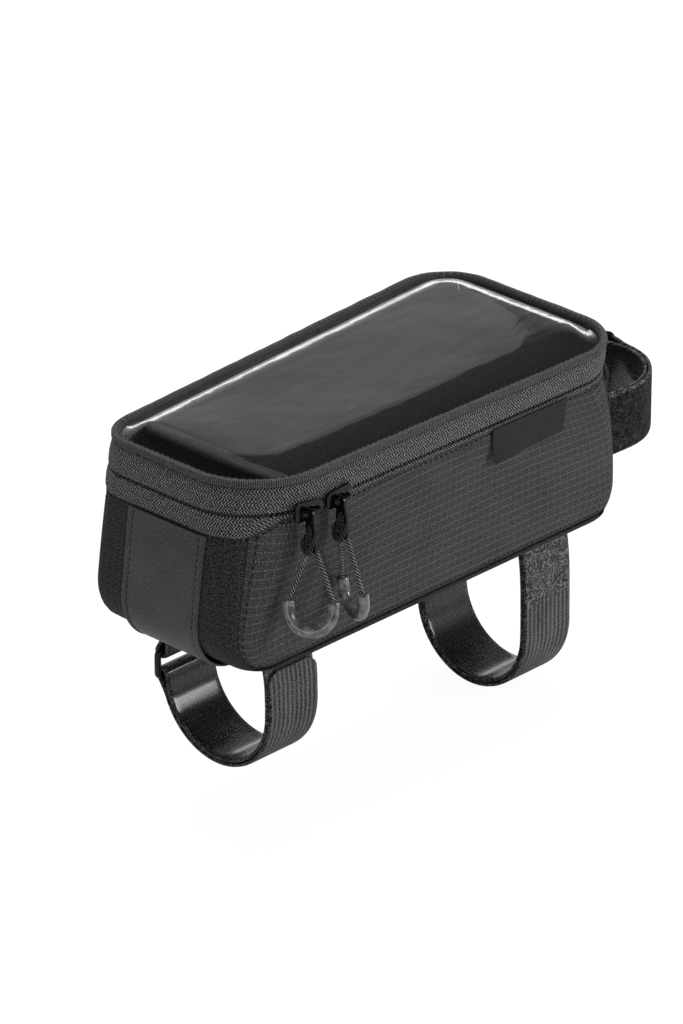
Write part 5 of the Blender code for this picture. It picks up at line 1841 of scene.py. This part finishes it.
for side, hang in HANGS.items():
    line = cord_line(hang)
    cord = tube("cord_" + side, wire(line, CORD_RADIUS, 14), cord_braid)
    seat(cord, "loop_" + side, "pull_cord_" + side + "_pull_cord", "pull_cord_" + side)
    length = way_along(line)[-1]
    tuple(line[0])
    [tuple(point) for point in line]
    grip = make_grip("grip_" + side, hang)
    seat(grip, "loop_" + side, "pull_tube_" + side + "_pull_tube", "pull_tube_" + side)
    print("cord", side, "is", round(length * 1000, 1), "mm long")

# %% [markdown]
# The hitch is the part of the same cord that stays on the tab: it turns over the end bar, two strands lie in
# the slot, and a bight crosses them just above the bar. It is painted darker than the legs, as painted
# shade.

# %% Hitches
HITCH_RADIUS = 0.00082

# The bight over the tab, as (along the zip, out of the bag, above the tab's lower end)
BIGHT = ((0.0004, -0.0021, 0.0066), (-0.0016, -0.0027, 0.0046), (-0.0025, -0.0021, 0.0020),
         (-0.0029, 0.0, 0.0007), (-0.0025, 0.0021, 0.0020), (-0.0016, 0.0027, 0.0046),
         (0.0004, 0.0021, 0.0066))


def make_hitch(side, hang):
    paths = [[hang.bar(degrees, WRAP_RADIUS) for degrees in range(-100, 101, 20)]]
    for across in (-0.00085, 0.00085):
        paths.append([hang.point(-0.0001, across * 0.8, TAB_SHOULDER - 0.0008),
                      hang.point(-0.0007, across, TAB_SHOULDER + 0.0012),
                      hang.point(-0.0010, across * 1.15, TAB_SHOULDER + 0.0040),
                      hang.point(-0.0014, across * 1.3, TAB_LENGTH - 0.0022),
                      hang.point(-0.0014, across * 0.9, TAB_LENGTH + 0.0004)])
    paths.append([hang.point(along, out, TAB_LENGTH - above) for along, out, above in BIGHT])
    for number, points in enumerate(paths):
        rings = wire(smooth_path(points, 6), HITCH_RADIUS, 12)
        # painted shade: the hitch strands take the darker copy of the cord
        strand = tube("hitch_" + side + "_" + str(number), rings, shaded_braid)
        seat(strand, "tab_" + side, "pull_tab_" + side + "_slider_metal")


for side, hang in HANGS.items():
    make_hitch(side, hang)

# %% [markdown]
# ## Stitches
# Seams are what make cloth look sewn. Each row of stitches is laid on the finished cloth: a
# line is drawn near the surface, every point of it is moved to the nearest point of the cloth,
# and the grain tree sets a stitch at each step.

# %% Laying a line on cloth
STITCH = (0.00050, 0.00065, 0.0018)
STITCH_STEP = 0.0026


def lay_on(piece, line, sink=0.00006):
    laid = []
    for point in line:
        found, place, normal, _ = piece.closest_point_on_mesh(Vector(point))
        laid.append(place - normal * sink if found else Vector(point))
    return laid


def even_line(line, step=0.0015):
    """The same line with a point at every step."""
    ways = way_along(line)
    count = max(int(ways[-1] / step), 2)
    made, index = [], 0
    for number in range(count + 1):
        way = ways[-1] * number / count
        while index < len(ways) - 2 and ways[index + 1] < way:
            index += 1
        span = ways[index + 1] - ways[index]
        made.append(Vector(line[index]).lerp(Vector(line[index + 1]), (way - ways[index]) / max(span, 1e-9)))
    return made


def sew(name, piece, lines, body, slot_name, finish=black_thread, size=STITCH, step=STITCH_STEP):
    laid = [lay_on(piece, even_line(line)) for line in lines]
    return seat(grains(name, laid, step, size, finish), body, slot_name)


SEAM_IN = 0.0022 / 0.030
FROM_EDGE = 0.0016
for side, start, end, seed in SIDES:
    across = stations_between(start + SEAM_IN, end - SEAM_IN, 40, 12)
    lines = [[skin(station, ZIP_HEIGHT - tape_drop(station) - FROM_EDGE) for station in across]]
    for station in (start + SEAM_IN, end - SEAM_IN):
        heights = [mix(0.005, cloth_top(station) - 0.002, step / 30) for step in range(31)]
        lines.append([skin(station, height) for height in heights])
    lines.append([skin(station, EDGE_ROUNDING + FROM_EDGE) for station in across])
    panel = bpy.data.objects[side + "_side"]
    sew("stitches_" + side + "_side", panel, lines, "bag", "side_panel_" + side + "_ripstop_cloth")

base = bpy.data.objects["base"]
base_rows = [[line[0] for line in base_lines(base_face, [side * (BASE_HALF_WIDTH - STITCHES_IN)])]
             for side in (-1, 1)]
sew("stitches_base", base, [row[1:-1] for row in base_rows], "bag", "base_strip_coated_base")

rim = bpy.data.objects["window_rim"]
rim_top = ZIP_HEIGHT + LID_HEIGHT
rim_line = [lifted(*plan_point(station, FILM_LEVEL, BEAD_WIDTH * 0.55), rim_top) for station in
            stations_between(0, 8, 60, 16)]
sew("stitches_rim", rim, [rim_line], "lid", "window_binding_binding_cloth")

label = bpy.data.objects["label"]
label_front = (LABEL_X + LABEL_LENGTH - 0.0014 - near_start) / (near_end - near_start)
label_line = [skin(label_front, ZIP_HEIGHT - SIDE_TAPE_DROP - drop, -0.002)
              for drop in (0.001, 0.004, 0.008, 0.0118)]
sew("stitches_label", label, [label_line], "bag", "side_label_label_cloth",
    size=(0.0003, 0.0003, 0.0012), step=0.0016)

# %% [markdown]
# The folded tail of each strap is sewn down beside its first ring bar with a small box of
# stitches.

# %% Strap stitches
BOX_HALF_WIDTH = 0.0098

for name, drop, ring_way, place in STRAPS:
    route = StrapWay(drop)
    top = STRAP + GAP + STRAP / 2
    first, last = ring_way - FOLD_BACK + 0.0014, ring_way - 0.0052
    corners = [(first, -BOX_HALF_WIDTH), (first, BOX_HALF_WIDTH),
               (last, BOX_HALF_WIDTH), (last, -BOX_HALF_WIDTH), (first, -BOX_HALF_WIDTH)]
    box = []
    for (way, width), (next_way, next_width) in zip(corners, corners[1:]):
        for share in (0.0, 0.25, 0.5, 0.75):
            spot = route.layer(mix(way, next_way, share), top)
            box.append(place(spot.x, spot.y, mix(width, next_width, share)))
    band = bpy.data.objects[name + "_band"]
    sew("stitches_" + name + "_strap", band, [box], "bag", name + "_strap_strap_cloth", grey_thread)

# %% [markdown]
# ## Sizes
# The solid model's box and the number of pieces are printed.

# %% Print the sizes
shown = [thing for thing in bpy.data.objects
         if thing.type == "MESH" and thing.name != "floor" and not thing.hide_render]
print("solid box", [[round(value, 4) for value in corner] for corner in cad_box])
print("pieces:", len(shown))
